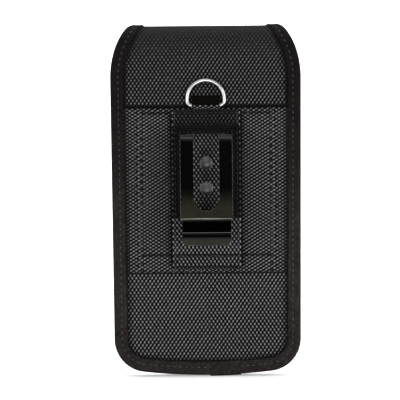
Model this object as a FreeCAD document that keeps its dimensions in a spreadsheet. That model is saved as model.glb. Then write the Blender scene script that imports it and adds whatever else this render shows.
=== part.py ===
import FreeCAD, Part
import math
import os
import re
import Sketcher

# A padded nylon pouch for a phone, worn on a belt. Millimetres, +Z up.
# The belt side faces -Y and the flap closes over the front, which faces +Y.
# The origin is the middle of the belt channel, on the belt's centre line.

# Driving sizes: name, value, and what it measures.
SIZES = [
    ("belt_channel", 5.0, "room behind the strap for the belt's thickness"),
    ("channel_top", 21.6, "top of the belt channel above the belt's centre line"),
    ("pouch_width", 94.2, "width over the bindings at the shoulders"),
    ("foot_width", 92.0, "width over the bindings just above the bottom corners"),
    ("fold_height", 74.0, "top of the fold above the belt's centre line"),
    ("bottom_depth", 98.8, "lowest point below the belt's centre line"),
    ("corner_radius", 16.3, "bottom corners of the pouch"),
    ("bottom_bow_radius", 280.0, "the slight downward bow of the bottom edge"),
    ("shoulder_radius", 45.0, "curve by which the sides turn in towards the flap"),
    ("shoulder_drop", 15.9, "start of the shoulder curve below the fold line"),
    ("shoulder_angle", 25.6, "lean of the edges across the fold, in degrees"),
    ("flap_width", 73.6, "width over the bindings of the flap's front"),
    ("flap_blend_radius", 12.0, "curve from the leaning edge to the flap's straight side"),
    ("flap_reach", 12.0, "lowest point of the flap below the belt's centre line"),
    ("flap_corner_radius", 14.0, "lower corners of the flap"),
    ("fold_radius", 10.0, "outside radius of the two folds"),
    ("shell_thickness", 0.9, "outer fabric"),
    ("foam_thickness", 1.6, "foam padding over the board"),
    ("board_thickness", 0.8, "stiffening board"),
    ("lining_thickness", 0.7, "inner fabric"),
    ("board_margin", 8.2, "board's edge inside the pouch's edge"),
    ("board_drop", 4.0, "board's top below the fold line"),
    ("tape_thickness", 0.7, "binding tape"),
    ("tape_width", 6.5, "visible width of the binding"),
    ("tape_clearance", 0.1, "air between the mouth's tape and its neighbours"),
    ("pocket_depth", 16.0, "room for the phone from back to front"),
    ("gusset_inset", 7.5, "gusset's wall inside the pouch's edge"),
    ("gusset_thickness", 1.0, "elastic gusset"),
    ("mouth_drop", 6.0, "pocket's mouth below the fold line"),
    ("loop_thickness", 1.2, "loop patch on the front"),
    ("hook_thickness", 1.0, "hook patch on the flap"),
    ("closure_clearance", 0.2, "air between the hooks and the loops"),
    ("patch_width", 44.0, "width of the hook patch"),
    ("patch_height", 26.0, "height of the hook patch"),
    ("patch_margin", 9.0, "hook patch above the flap's lower edge"),
    ("loop_border", 3.0, "loop patch beyond the hook patch on every side"),
    ("patch_corner", 3.0, "corner radius of both patches"),
    ("backing_thickness", 0.9, "reinforcement panel"),
    ("backing_drop", 0.8, "top edge of the reinforcement panel below the ring's bar"),
    ("backing_bottom", 48.0, "bottom edge of the reinforcement panel, below the centre line"),
    ("strap_width", 33.5, "belt strap"),
    ("strap_layer", 0.8, "each of the strap's two layers"),
    ("strap_drop", 2.3, "upper sewn end of the strap below the ring's bar"),
    ("strap_bottom", 47.0, "lower sewn end of the strap, below the centre line"),
    ("strap_bend", 1.0, "inside radius where the strap leaves the panel"),
    ("channel_bottom", 19.4, "where the strap starts to slope back, below the centre line"),
    ("slope_end", 38.6, "where the strap meets the panel again, below the centre line"),
    ("clip_thickness", 1.0, "spring steel of the clip"),
    ("clip_width", 25.4, "belt clip"),
    ("clip_bend", 3.65, "inside radius of the clip's top bend"),
    ("clip_top", 20.3, "top of the clip"),
    ("clip_foot", 14.0, "lower end of the clip's hidden plate, below the centre line"),
    ("clip_slot_width", 12.4, "slot down the clip"),
    ("clip_slot_end", 17.9, "rounded lower end of the slot, below the centre line"),
    ("clip_slot_start", 11.0, "slot's end on the hidden plate, above the centre line"),
    ("leaf_end", 22.1, "where the leaf bends in, below the centre line"),
    ("crease_depth", 28.5, "where the leaf comes nearest to the strap"),
    ("lip_depth", 34.7, "lower end of the flared lip"),
    ("crease_clearance", 0.3, "air between the crease and the strap"),
    ("lip_flare", 2.6, "how far the lip leans out"),
    ("lip_chamfer", 2.0, "cut corners of the lip"),
    ("leaf_step", 0.6, "leaf is narrower on each side below its bend"),
    ("clip_fillet", 1.2, "radius of the leaf's two shallow bends"),
    ("slit_clearance", 0.3, "cut in the strap's fabric round each leg of the clip"),
    ("rivet_upper_height", 5.7, "upper rivet above the centre line"),
    ("rivet_lower_depth", 6.8, "lower rivet below the centre line"),
    ("rivet_head", 6.6, "diameter of the domed heads"),
    ("rivet_dome", 1.5, "height of the domed heads"),
    ("rivet_shank", 3.0, "diameter of the shanks"),
    ("rivet_tail", 5.4, "diameter of the flat tails"),
    ("rivet_tail_height", 0.5, "thickness of the flat tails"),
    ("rivet_clearance", 0.05, "air round the shanks"),
    ("ring_width", 20.0, "over the ring's wire"),
    ("bar_height", 34.2, "ring's bar above the belt's centre line"),
    ("ring_height", 13.2, "from the bar's centre to the top of the ring"),
    ("ring_wire", 1.7, "wire of the ring"),
    ("ring_corner", 2.2, "corners beside the ring's bar, on the wire's centre line"),
    ("ring_clearance", 0.2, "air between the ring's bar and its tab"),
    ("ribbon_thickness", 0.6, "ribbon of the ring's tab"),
    ("ribbon_width", 13.6, "ribbon of the ring's tab"),
    ("tab_rise", 4.6, "top of the ring's tab above the bar"),
    ("cover_start", 50.0, "where the panel's fabric starts to rise below the bar, in degrees"),
    ("cover_clearance", 0.1, "air between the raised fabric and the strap's end"),
    ("cut_margin", 1.0, "how far a cut's outline reaches past the piece"),
]

# Places worked out from the sizes, each from those above it.
PLACES = [
    # Faces of the stacked layers, along Y.
    ("backing_face", "belt_channel / 2"),
    ("back_face", "backing_face + backing_thickness"),
    ("panel_thickness", "shell_thickness + foam_thickness + board_thickness + lining_thickness"),
    ("board_offset", "shell_thickness + foam_thickness"),
    ("lining_offset", "board_offset + board_thickness"),
    ("back_inner", "back_face + panel_thickness"),
    ("front_inner", "back_inner + pocket_depth"),
    ("front_face", "front_inner + panel_thickness"),
    ("loop_face", "front_face + loop_thickness"),
    ("hook_face", "loop_face + closure_clearance"),
    ("flap_inner", "hook_face + hook_thickness"),
    ("flap_face", "flap_inner + panel_thickness"),
    # The two folds.
    ("fold_line", "fold_height - fold_radius"),
    ("rear_fold", "back_face + fold_radius"),
    ("front_fold", "flap_face - fold_radius"),
    ("mouth_height", "fold_line - mouth_drop"),
    ("board_top", "fold_line - board_drop"),
    # Centres of the arcs of the pouch's outline, and the directions of its tangent points.
    ("shoulder_x", "pouch_width / 2 - shoulder_radius"),
    ("shoulder_z", "fold_line - shoulder_drop"),
    ("bow_z", "bottom_bow_radius - bottom_depth"),
    ("corner_x", "foot_width / 2 - corner_radius"),
    ("corner_z", "bow_z - sqrt((bottom_bow_radius - corner_radius)^2 - corner_x^2)"),
    ("side_run", "sqrt((corner_x - shoulder_x)^2 + (corner_z - shoulder_z)^2)"),
    ("side_turn", "(shoulder_radius - corner_radius) / side_run"),
    ("side_cross", "sqrt(1 - side_turn^2)"),
    ("side_x", "(side_turn * (corner_x - shoulder_x) - side_cross * (corner_z - shoulder_z)) / side_run"),
    ("side_z", "(side_turn * (corner_z - shoulder_z) + side_cross * (corner_x - shoulder_x)) / side_run"),
    ("bow_turn_x", "corner_x / (bottom_bow_radius - corner_radius)"),
    ("bow_turn_z", "(corner_z - bow_z) / (bottom_bow_radius - corner_radius)"),
    # Sewn ends that keep their distance below the ring's bar, and the top of its tab.
    ("backing_top", "bar_height - backing_drop"),
    ("strap_top", "bar_height - strap_drop"),
    ("tab_top", "bar_height + tab_rise"),
    # The strap's layers and the clip between them.
    ("strap_inside", "0 - belt_channel / 2"),
    ("plate_back", "strap_inside - strap_layer"),
    ("plate_front", "plate_back - clip_thickness"),
    ("strap_face", "plate_front - strap_layer"),
    ("inner_sewn_face", "backing_face - strap_layer"),
    ("outer_sewn_face", "inner_sewn_face - strap_layer"),
    ("strap_bend_outer", "strap_bend + strap_layer"),
    ("slope_run", "slope_end - channel_bottom"),
    ("inner_mitre", "strap_layer * tan(atan(belt_channel / slope_run) / 2)"),
    ("outer_mitre", "strap_layer * tan(atan((belt_channel + clip_thickness) / slope_run) / 2)"),
    ("clip_bend_outer", "clip_bend + clip_thickness"),
    ("clip_bend_y", "plate_back - clip_bend_outer"),
    ("clip_bend_z", "clip_top - clip_bend_outer"),
    ("leaf_back", "clip_bend_y - clip_bend"),
    ("leaf_face", "clip_bend_y - clip_bend_outer"),
    ("crease_face", "strap_face - crease_clearance - clip_thickness"),
    ("leaf_angle", "atan((crease_face - leaf_face) / (crease_depth - leaf_end))"),
    ("lip_angle", "atan(lip_flare / (lip_depth - crease_depth))"),
    ("leaf_mitre", "clip_thickness * tan(leaf_angle / 2)"),
    ("crease_share", "clip_thickness / (1 + cos(leaf_angle + lip_angle))"),
    ("slit_bottom", "clip_bend_z - slit_clearance"),
    ("slit_top", "clip_bend_z + sqrt(clip_bend_outer^2 - (clip_bend_y - strap_face)^2) + slit_clearance"),
    # The ring, its tab and the fabric over them.
    ("tab_bore", "ring_wire / 2 + ring_clearance"),
    ("tab_round", "tab_bore + ribbon_thickness"),
    ("ring_y", "back_face - tab_round"),
    ("cover_round", "tab_round + backing_thickness"),
    ("ring_bow", "(ring_width - ring_wire) / 2"),
]

SIDES = (("left", -1), ("right", 1))
SIDEWAYS = FreeCAD.Vector(1, 0, 0)
FORWARD = FreeCAD.Vector(0, 1, 0)
QUARTER = math.pi / 2

# Sections of a lofted strip in each fold, and how near two lengths count as equal.
STATIONS = 4
NEAR = 0.01


def bound(text):
    """The same expression with every size and place named by the object that holds it."""
    return re.sub(r"[a-z_]\w*", lambda word: OWNERS.get(word[0], "") + word[0], text)


def value(text):
    """What an expression comes to now."""
    return float(places.evalExpression(bound(text)))


def bind(thing, prop, text):
    thing.setExpression(prop, bound(text))


def arc_geometry(start, end, radius, turn):
    """The shorter arc from start to end, turning left or right."""
    chord = end - start
    middle = (start + end) * 0.5
    rise = math.sqrt(max(radius ** 2 - (chord.Length / 2) ** 2, 0.0))
    side = FreeCAD.Vector(-chord.y, chord.x, 0).normalize()
    centre = middle + side * (rise if turn == "left" else -rise)
    first, last = (start, end) if turn == "left" else (end, start)
    low = math.atan2(first.y - centre.y, first.x - centre.x)
    high = math.atan2(last.y - centre.y, last.x - centre.x)
    return Part.ArcOfCircle(Part.Circle(centre, FreeCAD.Vector(0, 0, 1), radius), low, high)


def pin(sketch, geometry, point, x, y):
    """Holds one point of a sketch at a place given by two expressions."""
    for kind, text in (("DistanceX", x), ("DistanceY", y)):
        index = sketch.addConstraint(Sketcher.Constraint(kind, -1, 1, geometry, point, value(text)))
        bind(sketch, f"Constraints[{index}]", text)


def draw_loop(sketch, corners):
    """A closed line through the corners: (x, y), or (x, y, turn, radius) where an arc leaves."""
    spots = [FreeCAD.Vector(value(corner[0]), value(corner[1]), 0) for corner in corners]
    ends = []
    for number, corner in enumerate(corners):
        start, end = spots[number], spots[(number + 1) % len(spots)]
        if len(corner) == 2:
            index = sketch.addGeometry(Part.LineSegment(start, end))
            ends.append((index, 1, 2))
            continue
        turn, radius = corner[2:]
        index = sketch.addGeometry(arc_geometry(start, end, value(radius), turn))
        rule = sketch.addConstraint(Sketcher.Constraint("Radius", index, value(radius)))
        bind(sketch, f"Constraints[{rule}]", radius)
        ends.append((index, 1, 2) if turn == "left" else (index, 2, 1))
    for number, (index, first, last) in enumerate(ends):
        after, after_first, after_last = ends[(number + 1) % len(ends)]
        sketch.addConstraint(Sketcher.Constraint("Coincident", index, last, after, after_first))
        pin(sketch, index, first, corners[number][0], corners[number][1])


def draw_circle(sketch, x, y, radius):
    spot = FreeCAD.Vector(value(x), value(y), 0)
    index = sketch.addGeometry(Part.Circle(spot, FreeCAD.Vector(0, 0, 1), value(radius)))
    rule = sketch.addConstraint(Sketcher.Constraint("Radius", index, value(radius)))
    bind(sketch, f"Constraints[{rule}]", radius)
    pin(sketch, index, 3, x, y)


def rectangle(left, right, low, high):
    return [(left, low), (right, low), (right, high), (left, high)]


def rounded_rectangle(half_width, low, high, radius):
    """Corners of an upright rectangle about X = 0 with four equal arcs."""
    across = f"({half_width} - {radius})"
    left, right = f"0 - {half_width}", half_width
    inner_left = f"0 - {across}"
    return [
        (inner_left, low), (across, low, "left", radius),
        (right, f"{low} + {radius}"), (right, f"{high} - {radius}", "left", radius),
        (across, high), (inner_left, high, "left", radius),
        (left, f"{high} - {radius}"), (left, f"{low} + {radius}", "left", radius),
    ]


# The pouch's outline, seen from behind, at any inset and cut level at any height.

def pouch_corners(inset, top):
    round_shoulder = f"(shoulder_radius - {inset})"
    round_corner = f"(corner_radius - {inset})"
    round_bow = f"(bottom_bow_radius - {inset})"
    right = [
        (f"shoulder_x + sqrt({round_shoulder}^2 - ({top} - shoulder_z)^2)", top),
        (f"shoulder_x + {round_shoulder} * side_x", f"shoulder_z + {round_shoulder} * side_z"),
        (f"corner_x + {round_corner} * side_x", f"corner_z + {round_corner} * side_z"),
        (f"{round_bow} * bow_turn_x", f"bow_z + {round_bow} * bow_turn_z"),
    ]
    left = [(f"0 - ({x})", z) for x, z in reversed(right)]
    arcs = {0: round_shoulder, 2: round_corner, 3: round_bow, 4: round_corner, 6: round_shoulder}
    corners = right + left
    return [spot + ("right", arcs[n]) if n in arcs else spot for n, spot in enumerate(corners)]


def flap_corners(inset):
    """The flap's front below the fold line: straight sides and two round corners."""
    half = f"(flap_width / 2 - {inset})"
    radius = f"(flap_corner_radius - {inset})"
    low = f"({inset} - flap_reach)"
    return [
        (half, "fold_line"),
        (half, f"{low} + {radius}", "right", radius),
        (f"{half} - {radius}", low),
        (f"{radius} - {half}", low, "right", radius),
        (f"0 - {half}", f"{low} + {radius}"),
        (f"0 - {half}", "fold_line"),
    ]


def flat_sketch(name, corners):
    """A free sketch on the XZ plane through the origin."""
    sketch = doc.addObject("Sketcher::SketchObject", name)
    sketch.Placement = FreeCAD.Placement(FreeCAD.Vector(), FreeCAD.Rotation(SIDEWAYS, 90))
    draw_loop(sketch, corners)
    return sketch


def slab(name, sketch, near, far):
    """A flat piece with the sketch's outline, from one Y to another."""
    piece = doc.addObject("Part::Extrusion", name)
    piece.Base = sketch
    piece.DirMode = "Custom"
    piece.Dir = FORWARD
    piece.Solid = True
    bind(piece, "LengthFwd", far)
    bind(piece, "LengthRev", f"0 - ({near})")
    return piece


def cut(name, base, tool):
    piece = doc.addObject("Part::Cut", name)
    piece.Base = base
    piece.Tool = tool
    return piece


def fuse(name, pieces):
    piece = doc.addObject("Part::MultiFuse", name)
    piece.Shapes = pieces
    piece.Refine = True
    return piece


# Fabric that runs over the folds. A station is a distance along the outer face from the
# fold line at the back, up and over the top, and down to the fold line at the front.

def edge_half_width(station, inset):
    """Half the width at a station, at an inset from the bound edge."""
    lean = math.radians(value("shoulder_angle"))
    round_shoulder = value("shoulder_radius") - inset
    start = value("shoulder_z - fold_line")
    tangent = start + round_shoulder * math.sin(lean)
    if station <= tangent:
        return value("shoulder_x") + math.sqrt(round_shoulder ** 2 - (station - start) ** 2)
    blend, straight = value("flap_blend_radius"), value("flap_width / 2")
    outer = value("shoulder_radius")
    lean_top = value("shoulder_x") + outer * math.cos(lean)
    lean_start = start + outer * math.sin(lean)
    lean_end_width = straight + blend * (1 - math.cos(lean))
    lean_end = lean_start + (lean_top - lean_end_width) / math.tan(lean)
    blend_end = lean_end + blend * math.sin(lean)
    if station >= blend_end:
        return straight - inset
    if station <= blend_end - (blend + inset) * math.sin(lean):
        return value("shoulder_x") + round_shoulder * math.cos(lean) - (station - tangent) * math.tan(lean)
    return straight + blend - math.sqrt((blend + inset) ** 2 - (station - blend_end) ** 2)


def path_point(station, x, offset):
    """The point at a station, x across, and offset inwards from the outer face."""
    radius = value("fold_radius")
    quarter = radius * QUARTER
    top_run = value("front_fold - rear_fold")
    if station <= quarter:
        centre, angle = value("rear_fold"), station / radius
        shift = 0.0
    elif station <= quarter + top_run:
        centre, angle = value("rear_fold"), QUARTER
        shift = station - quarter
    else:
        centre, angle = value("front_fold"), (station - top_run) / radius
        shift = 0.0
    reach = radius - offset
    y = centre - reach * math.cos(angle) + shift
    return FreeCAD.Vector(x, y, value("fold_line") + reach * math.sin(angle))


def fold_stations(first, last):
    """Stations of a run, given as turns of the fold in quarters: 0 to 1 rear, 1 to 2 front."""
    quarter = value("fold_radius") * QUARTER
    top_run = value("front_fold - rear_fold")
    found = []
    for fold, shift in ((0, 0.0), (1, top_run)):
        low, high = max(first, fold), min(last, fold + 1)
        if low >= high:
            continue
        for step in range(STATIONS + 1):
            turn = low + (high - low) * step / STATIONS
            found.append(turn * quarter + shift)
    return found


def bent_strip(name, first, last, outline):
    """A solid whose outline in each radial plane is a list of (x, offset) for its station."""
    wires = []
    for station in fold_stations(first, last):
        spots = [path_point(station, x, offset) for x, offset in outline(station)]
        wires.append(Part.makePolygon(spots + spots[:1]))
    piece = doc.addObject("Part::Feature", name)
    piece.Shape = Part.makeLoft(wires, True, True)
    return piece


def bent_layer(name, first, last, near, far):
    """A fabric layer between two offsets, in from the binding's fold all round."""
    def outline(station):
        half = edge_half_width(station, value("tape_thickness"))
        low, high = value(near), value(far)
        return [(-half, low), (half, low), (half, high), (-half, high)]
    return bent_strip(name, first, last, outline)


def bent_binding(name, first, last, side):
    """The tape round one edge of the folded part, as one U-shaped strip."""
    def outline(station):
        tape, deep = value("tape_thickness"), value("panel_thickness")
        edge = edge_half_width(station, 0.0)
        wall = edge_half_width(station, tape)
        inner = edge_half_width(station, value("tape_width"))
        spots = [(inner, -tape), (edge, -tape), (edge, deep + tape), (inner, deep + tape)]
        spots += [(inner, deep), (wall, deep), (wall, 0.0), (inner, 0.0)]
        return [(side * x, offset) for x, offset in spots]
    return bent_strip(name, first, last, outline)


# Solid bodies made of sketched features.

def new_body(label):
    return doc.addObject("PartDesign::Body", label)


def body_sketch(body, name, role):
    sketch = body.newObject("Sketcher::SketchObject", name)
    planes = [feature for feature in body.Origin.OriginFeatures if feature.Role == role]
    sketch.AttachmentSupport = (planes[0], [""])
    sketch.MapMode = "FlatFace"
    return sketch


def pad_across(body, name, sketch, width):
    """A pad of a side view, half its width to each side."""
    pad = body.newObject("PartDesign::Pad", name)
    pad.Profile = sketch
    pad.SideType = "Symmetric"
    bind(pad, "Length", width)
    body.Tip = pad
    return pad


def pad_between(body, name, sketch, near, far):
    """A pad of a view from behind, from one Y to another."""
    pad = body.newObject("PartDesign::Pad", name)
    pad.Profile = sketch
    pad.SideType = "Two sides"
    bind(pad, "Length", f"0 - ({near})")
    bind(pad, "Length2", far)
    body.Tip = pad
    return pad


def pocket_between(body, name, sketch, near, far):
    """A pocket of a view from behind, from one Y to another."""
    pocket = body.newObject("PartDesign::Pocket", name)
    pocket.Profile = sketch
    pocket.SideType = "Two sides"
    bind(pocket, "Length", far)
    bind(pocket, "Length2", f"0 - ({near})")
    body.Tip = pocket
    return pocket


def edges_where(shape, wanted):
    """Names of the straight edges whose two ends satisfy a test."""
    found = []
    for number, edge in enumerate(shape.Edges, 1):
        ends = [vertex.Point for vertex in edge.Vertexes]
        if len(ends) == 2 and wanted(*ends):
            found.append(f"Edge{number}")
    return found


def dress(body, kind, name, prop, size, wanted):
    """A fillet or a chamfer on the edges that satisfy a test."""
    doc.recompute()
    base = body.Tip
    feature = body.newObject(kind, name)
    feature.Base = (base, edges_where(base.Shape, wanted))
    bind(feature, prop, size)
    body.Tip = feature


def make_back_panel():
    """Shell, foam, board and lining of the back, running up into the rear fold."""
    first, last = 0.0, 0.5
    layers = [("back_shell", "0", "shell_thickness"), ("back_foam", "shell_thickness", "lining_offset"),
              ("back_lining", "lining_offset", "panel_thickness")]
    for name, near, far in layers:
        flat = slab(f"{name}_flat", back_outline, f"back_face + {near}", f"back_face + {far}")
        if name == "back_foam":
            flat = cut("back_foam_recessed", flat, board_room)
        fold = bent_layer(f"{name}_fold", first, last, near, far)
        nodes.append(fuse(name, [flat, fold]))
    near, far = "back_face + board_offset", "back_face + lining_offset"
    nodes.append(slab("back_board", board_outline, near, far))


def make_front_panel():
    """The same four layers in the front, cut level at the pocket's mouth."""
    nodes.append(slab("front_shell", front_outline, "front_face - shell_thickness", "front_face"))
    inside = "front_face - lining_offset"
    foam = slab("front_foam_full", front_outline, inside, "front_face - shell_thickness")
    nodes.append(cut("front_foam", foam, front_board_room))
    nodes.append(slab("front_board", front_board_outline, inside, "front_face - board_offset"))
    nodes.append(slab("front_lining", front_outline, "front_inner", inside))


def make_gusset():
    """One U of elastic: a wall inside the edge and a flange along each panel."""
    rear = slab("gusset_rear_flange", front_outline, "back_inner", "back_inner + gusset_thickness")
    front = slab("gusset_front_flange", front_outline, "front_inner - gusset_thickness", "front_inner")
    wall = slab("gusset_wall", gusset_outline, "back_inner", "front_inner")
    room = slab("gusset_room", pocket_outline, "back_inner - cut_margin", "front_inner + cut_margin")
    nodes.append(cut("side_gusset", fuse("gusset_full", [rear, front, wall]), room))


def make_bindings():
    """Tape folded round the edges of the back, the front and the pocket's mouth."""
    outer, inner = "back_face - tape_thickness", "back_inner + gusset_thickness + tape_thickness"
    ring = cut("back_tape_ring", slab("back_tape_full", back_edge, outer, inner),
               slab("back_tape_window", back_tape_inside, f"{outer} - cut_margin", f"{inner} + cut_margin"))
    hollow = cut("back_tape_hollow", ring,
                 slab("back_tape_filling", back_tape_filling, "back_face", "back_inner + gusset_thickness"))
    above = doc.addObject("Part::Box", "back_tape_step")
    bind(above, "Length", "pouch_width + 2 * cut_margin")
    bind(above, "Width", "gusset_thickness + tape_thickness")
    bind(above, "Height", "mouth_drop + cut_margin")
    bind(above, "Placement.Base.x", "0 - pouch_width / 2 - cut_margin")
    bind(above, "Placement.Base.y", "back_inner")
    bind(above, "Placement.Base.z", "mouth_height")
    flat = cut("back_tape_flat", hollow, above)
    strips = [bent_binding(f"back_tape_fold_{side}", 0.0, 0.5, sign) for side, sign in SIDES]
    uppers = []
    for side, sign in SIDES:
        uppers.append(straight_binding(f"back_tape_upper_{side}", sign))
    nodes.append(fuse("back_binding", [flat] + uppers + strips))

    outer, inner = "front_inner - gusset_thickness - tape_thickness", "front_face + tape_thickness"
    window = slab("front_tape_window", front_tape_inside, f"{outer} - cut_margin", f"{inner} + cut_margin")
    ring = cut("front_tape_ring", slab("front_tape_full", front_edge, outer, inner), window)
    filling = slab("front_tape_filling", front_tape_filling, "front_inner - gusset_thickness", "front_face")
    nodes.append(cut("front_binding", ring, filling))


def straight_binding(name, side):
    """The inner layer of the back's tape between the pocket's mouth and the fold line."""
    low, high = value("mouth_height - fold_line"), 0.0
    tape, deep = value("tape_thickness"), value("panel_thickness")
    wires = []
    for step in range(STATIONS + 1):
        station = low + (high - low) * step / STATIONS
        inner = side * edge_half_width(station, value("tape_width"))
        edge = side * edge_half_width(station, 0.0)
        level = value("fold_line") + station
        near, far = value("back_face") + deep, value("back_face") + deep + tape
        spots = [FreeCAD.Vector(inner, near, level), FreeCAD.Vector(edge, near, level),
                 FreeCAD.Vector(edge, far, level), FreeCAD.Vector(inner, far, level)]
        wires.append(Part.makePolygon(spots + spots[:1]))
    piece = doc.addObject("Part::Feature", name)
    piece.Shape = Part.makeLoft(wires, True, True)
    return piece


def half_mouth(inset):
    """Half the width at the mouth, at an inset from the edge and clear of what lies beside it."""
    across = f"sqrt((shoulder_radius - {inset})^2 - (mouth_height - shoulder_z)^2)"
    return f"(shoulder_x + {across} - tape_clearance)"


def make_mouth_binding():
    """Tape over the front panel's top edge, between the side bindings."""
    body = new_body("mouth_binding")
    sketch = body_sketch(body, "mouth_tape_section", "YZ_Plane")
    outer_near, outer_far = "front_inner - tape_thickness", "front_face + tape_thickness"
    low = "mouth_height - tape_width"
    draw_loop(sketch, [
        (outer_near, low), ("front_inner", low), ("front_inner", "mouth_height"),
        ("front_face", "mouth_height"), ("front_face", low), (outer_far, low),
        (outer_far, "mouth_height + tape_thickness"), (outer_near, "mouth_height + tape_thickness"),
    ])
    outside = half_mouth("tape_width")
    inside = half_mouth("(gusset_inset + gusset_thickness)")
    pad_across(body, "mouth_tape_run", sketch, f"2 * {outside}")
    ends = body_sketch(body, "mouth_tape_ends", "XZ_Plane")
    beyond = f"({outside} + cut_margin)"
    for left, right in ((inside, beyond), (f"0 - {beyond}", f"0 - {inside}")):
        draw_loop(ends, rectangle(left, right, f"{low} - cut_margin", "mouth_height"))
    pocket_between(body, "mouth_tape_short_layer", ends, f"{outer_near} - cut_margin", "front_inner")
    nodes.append(body)


def make_flap():
    """The folded top and the front of the flap, with their tape."""
    for name, near, far in (("flap_top_shell", "0", "shell_thickness"),
                            ("flap_top_foam", "shell_thickness", "lining_offset"),
                            ("flap_top_lining", "lining_offset", "panel_thickness")):
        nodes.append(bent_layer(name, 0.5, 1.5, near, far))
    for side, sign in SIDES:
        nodes.append(bent_binding(f"flap_top_binding_{side}", 0.5, 1.5, sign))

    for name, near, far in (("flap_shell", "0", "shell_thickness"),
                            ("flap_foam", "shell_thickness", "lining_offset"),
                            ("flap_lining", "lining_offset", "panel_thickness")):
        flat = slab(f"{name}_flat", flap_outline, f"flap_face - {far}", f"flap_face - {near}")
        if name == "flap_foam":
            flat = cut("flap_foam_recessed", flat, flap_board_room)
        fold = bent_layer(f"{name}_fold", 1.5, 2.0, near, far)
        nodes.append(fuse(name, [flat, fold]))
    near, far = "flap_face - lining_offset", "flap_face - board_offset"
    nodes.append(slab("flap_board", flap_board_outline, near, far))

    outer, inner = "flap_inner - tape_thickness", "flap_face + tape_thickness"
    window = slab("flap_tape_window", flap_tape_inside, f"{outer} - cut_margin", f"{inner} + cut_margin")
    ring = cut("flap_tape_ring", slab("flap_tape_full", flap_edge, outer, inner), window)
    filling = slab("flap_tape_filling", flap_tape_filling, "flap_inner", "flap_face")
    flat = cut("flap_tape_flat", ring, filling)
    strips = [bent_binding(f"flap_tape_fold_{side}", 1.5, 2.0, sign) for side, sign in SIDES]
    nodes.append(fuse("flap_binding", [flat] + strips))


def make_patches():
    """The loop patch on the front and the smaller hook patch inside the flap."""
    low = "patch_margin - flap_reach"
    patches = [("hook_patch", "0", "hook_face", "flap_inner"),
               ("loop_patch", "loop_border", "front_face", "loop_face")]
    for name, border, near, far in patches:
        body = new_body(name)
        sketch = body_sketch(body, f"{name}_outline", "XZ_Plane")
        draw_loop(sketch, rounded_rectangle(f"(patch_width / 2 + {border})", f"({low} - {border})",
                                            f"({low} + patch_height + {border})", "patch_corner"))
        pad_between(body, f"{name}_pad", sketch, near, far)
        nodes.append(body)


def inside_bindings(level):
    """Half the width between the side bindings, at a height on the straight part of the sides."""
    return f"(shoulder_x + (shoulder_radius - tape_width - side_z * ({level} - shoulder_z)) / side_x)"


def make_reinforcement_panel():
    """A second fabric panel on the back, raised over the ring's bar at its top edge."""
    body = new_body("reinforcement_panel")
    sketch = body_sketch(body, "panel_outline", "XZ_Plane")
    half, foot = inside_bindings("backing_top"), inside_bindings("0 - backing_bottom")
    draw_loop(sketch, [(f"0 - {foot}", "0 - backing_bottom"), (foot, "0 - backing_bottom"),
                       (half, "backing_top"), (f"0 - {half}", "backing_top")])
    pad_between(body, "panel_sheet", sketch, "backing_face", "back_face")
    notch = body_sketch(body, "tab_notch_outline", "XZ_Plane")
    draw_loop(notch, rectangle("0 - ribbon_width / 2 - ring_clearance", "ribbon_width / 2 + ring_clearance",
                               "bar_height - tab_round", "bar_height + tab_round"))
    pocket_between(body, "tab_notch", notch, "backing_face - cut_margin", "back_face + cut_margin")
    cover = body_sketch(body, "cover_section", "YZ_Plane")
    draw_loop(cover, [
        ("backing_face", "strap_top + cover_clearance"),
        ("backing_face", "bar_height - tab_round"),
        ("ring_y", "bar_height - tab_round", "right", "tab_round"),
        ("ring_y - tab_round", "bar_height"),
        ("ring_y - cover_round", "bar_height", "left", "cover_round"),
        ("ring_y - cover_round * cos(cover_start)", "bar_height - cover_round * sin(cover_start)"),
    ])
    pad_across(body, "cover_over_bar", cover, "ribbon_width + ring_clearance * 2")
    nodes.append(body)


def make_ring_tab():
    """Ribbon looped round the ring's bar: a flat oval band, open through its width."""
    body = new_body("ring_tab")
    sketch = body_sketch(body, "tab_section", "YZ_Plane")
    for radius in ("tab_round", "tab_bore"):
        top = "(tab_top - tab_round)"
        draw_loop(sketch, [
            (f"ring_y + {radius}", "bar_height"), (f"ring_y + {radius}", top, "left", radius),
            ("ring_y", f"{top} + {radius}", "left", radius),
            (f"ring_y - {radius}", top), (f"ring_y - {radius}", "bar_height", "left", radius),
            ("ring_y", f"bar_height - {radius}", "left", radius),
        ])
    pad_across(body, "tab_band", sketch, "ribbon_width")
    nodes.append(body)


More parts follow.
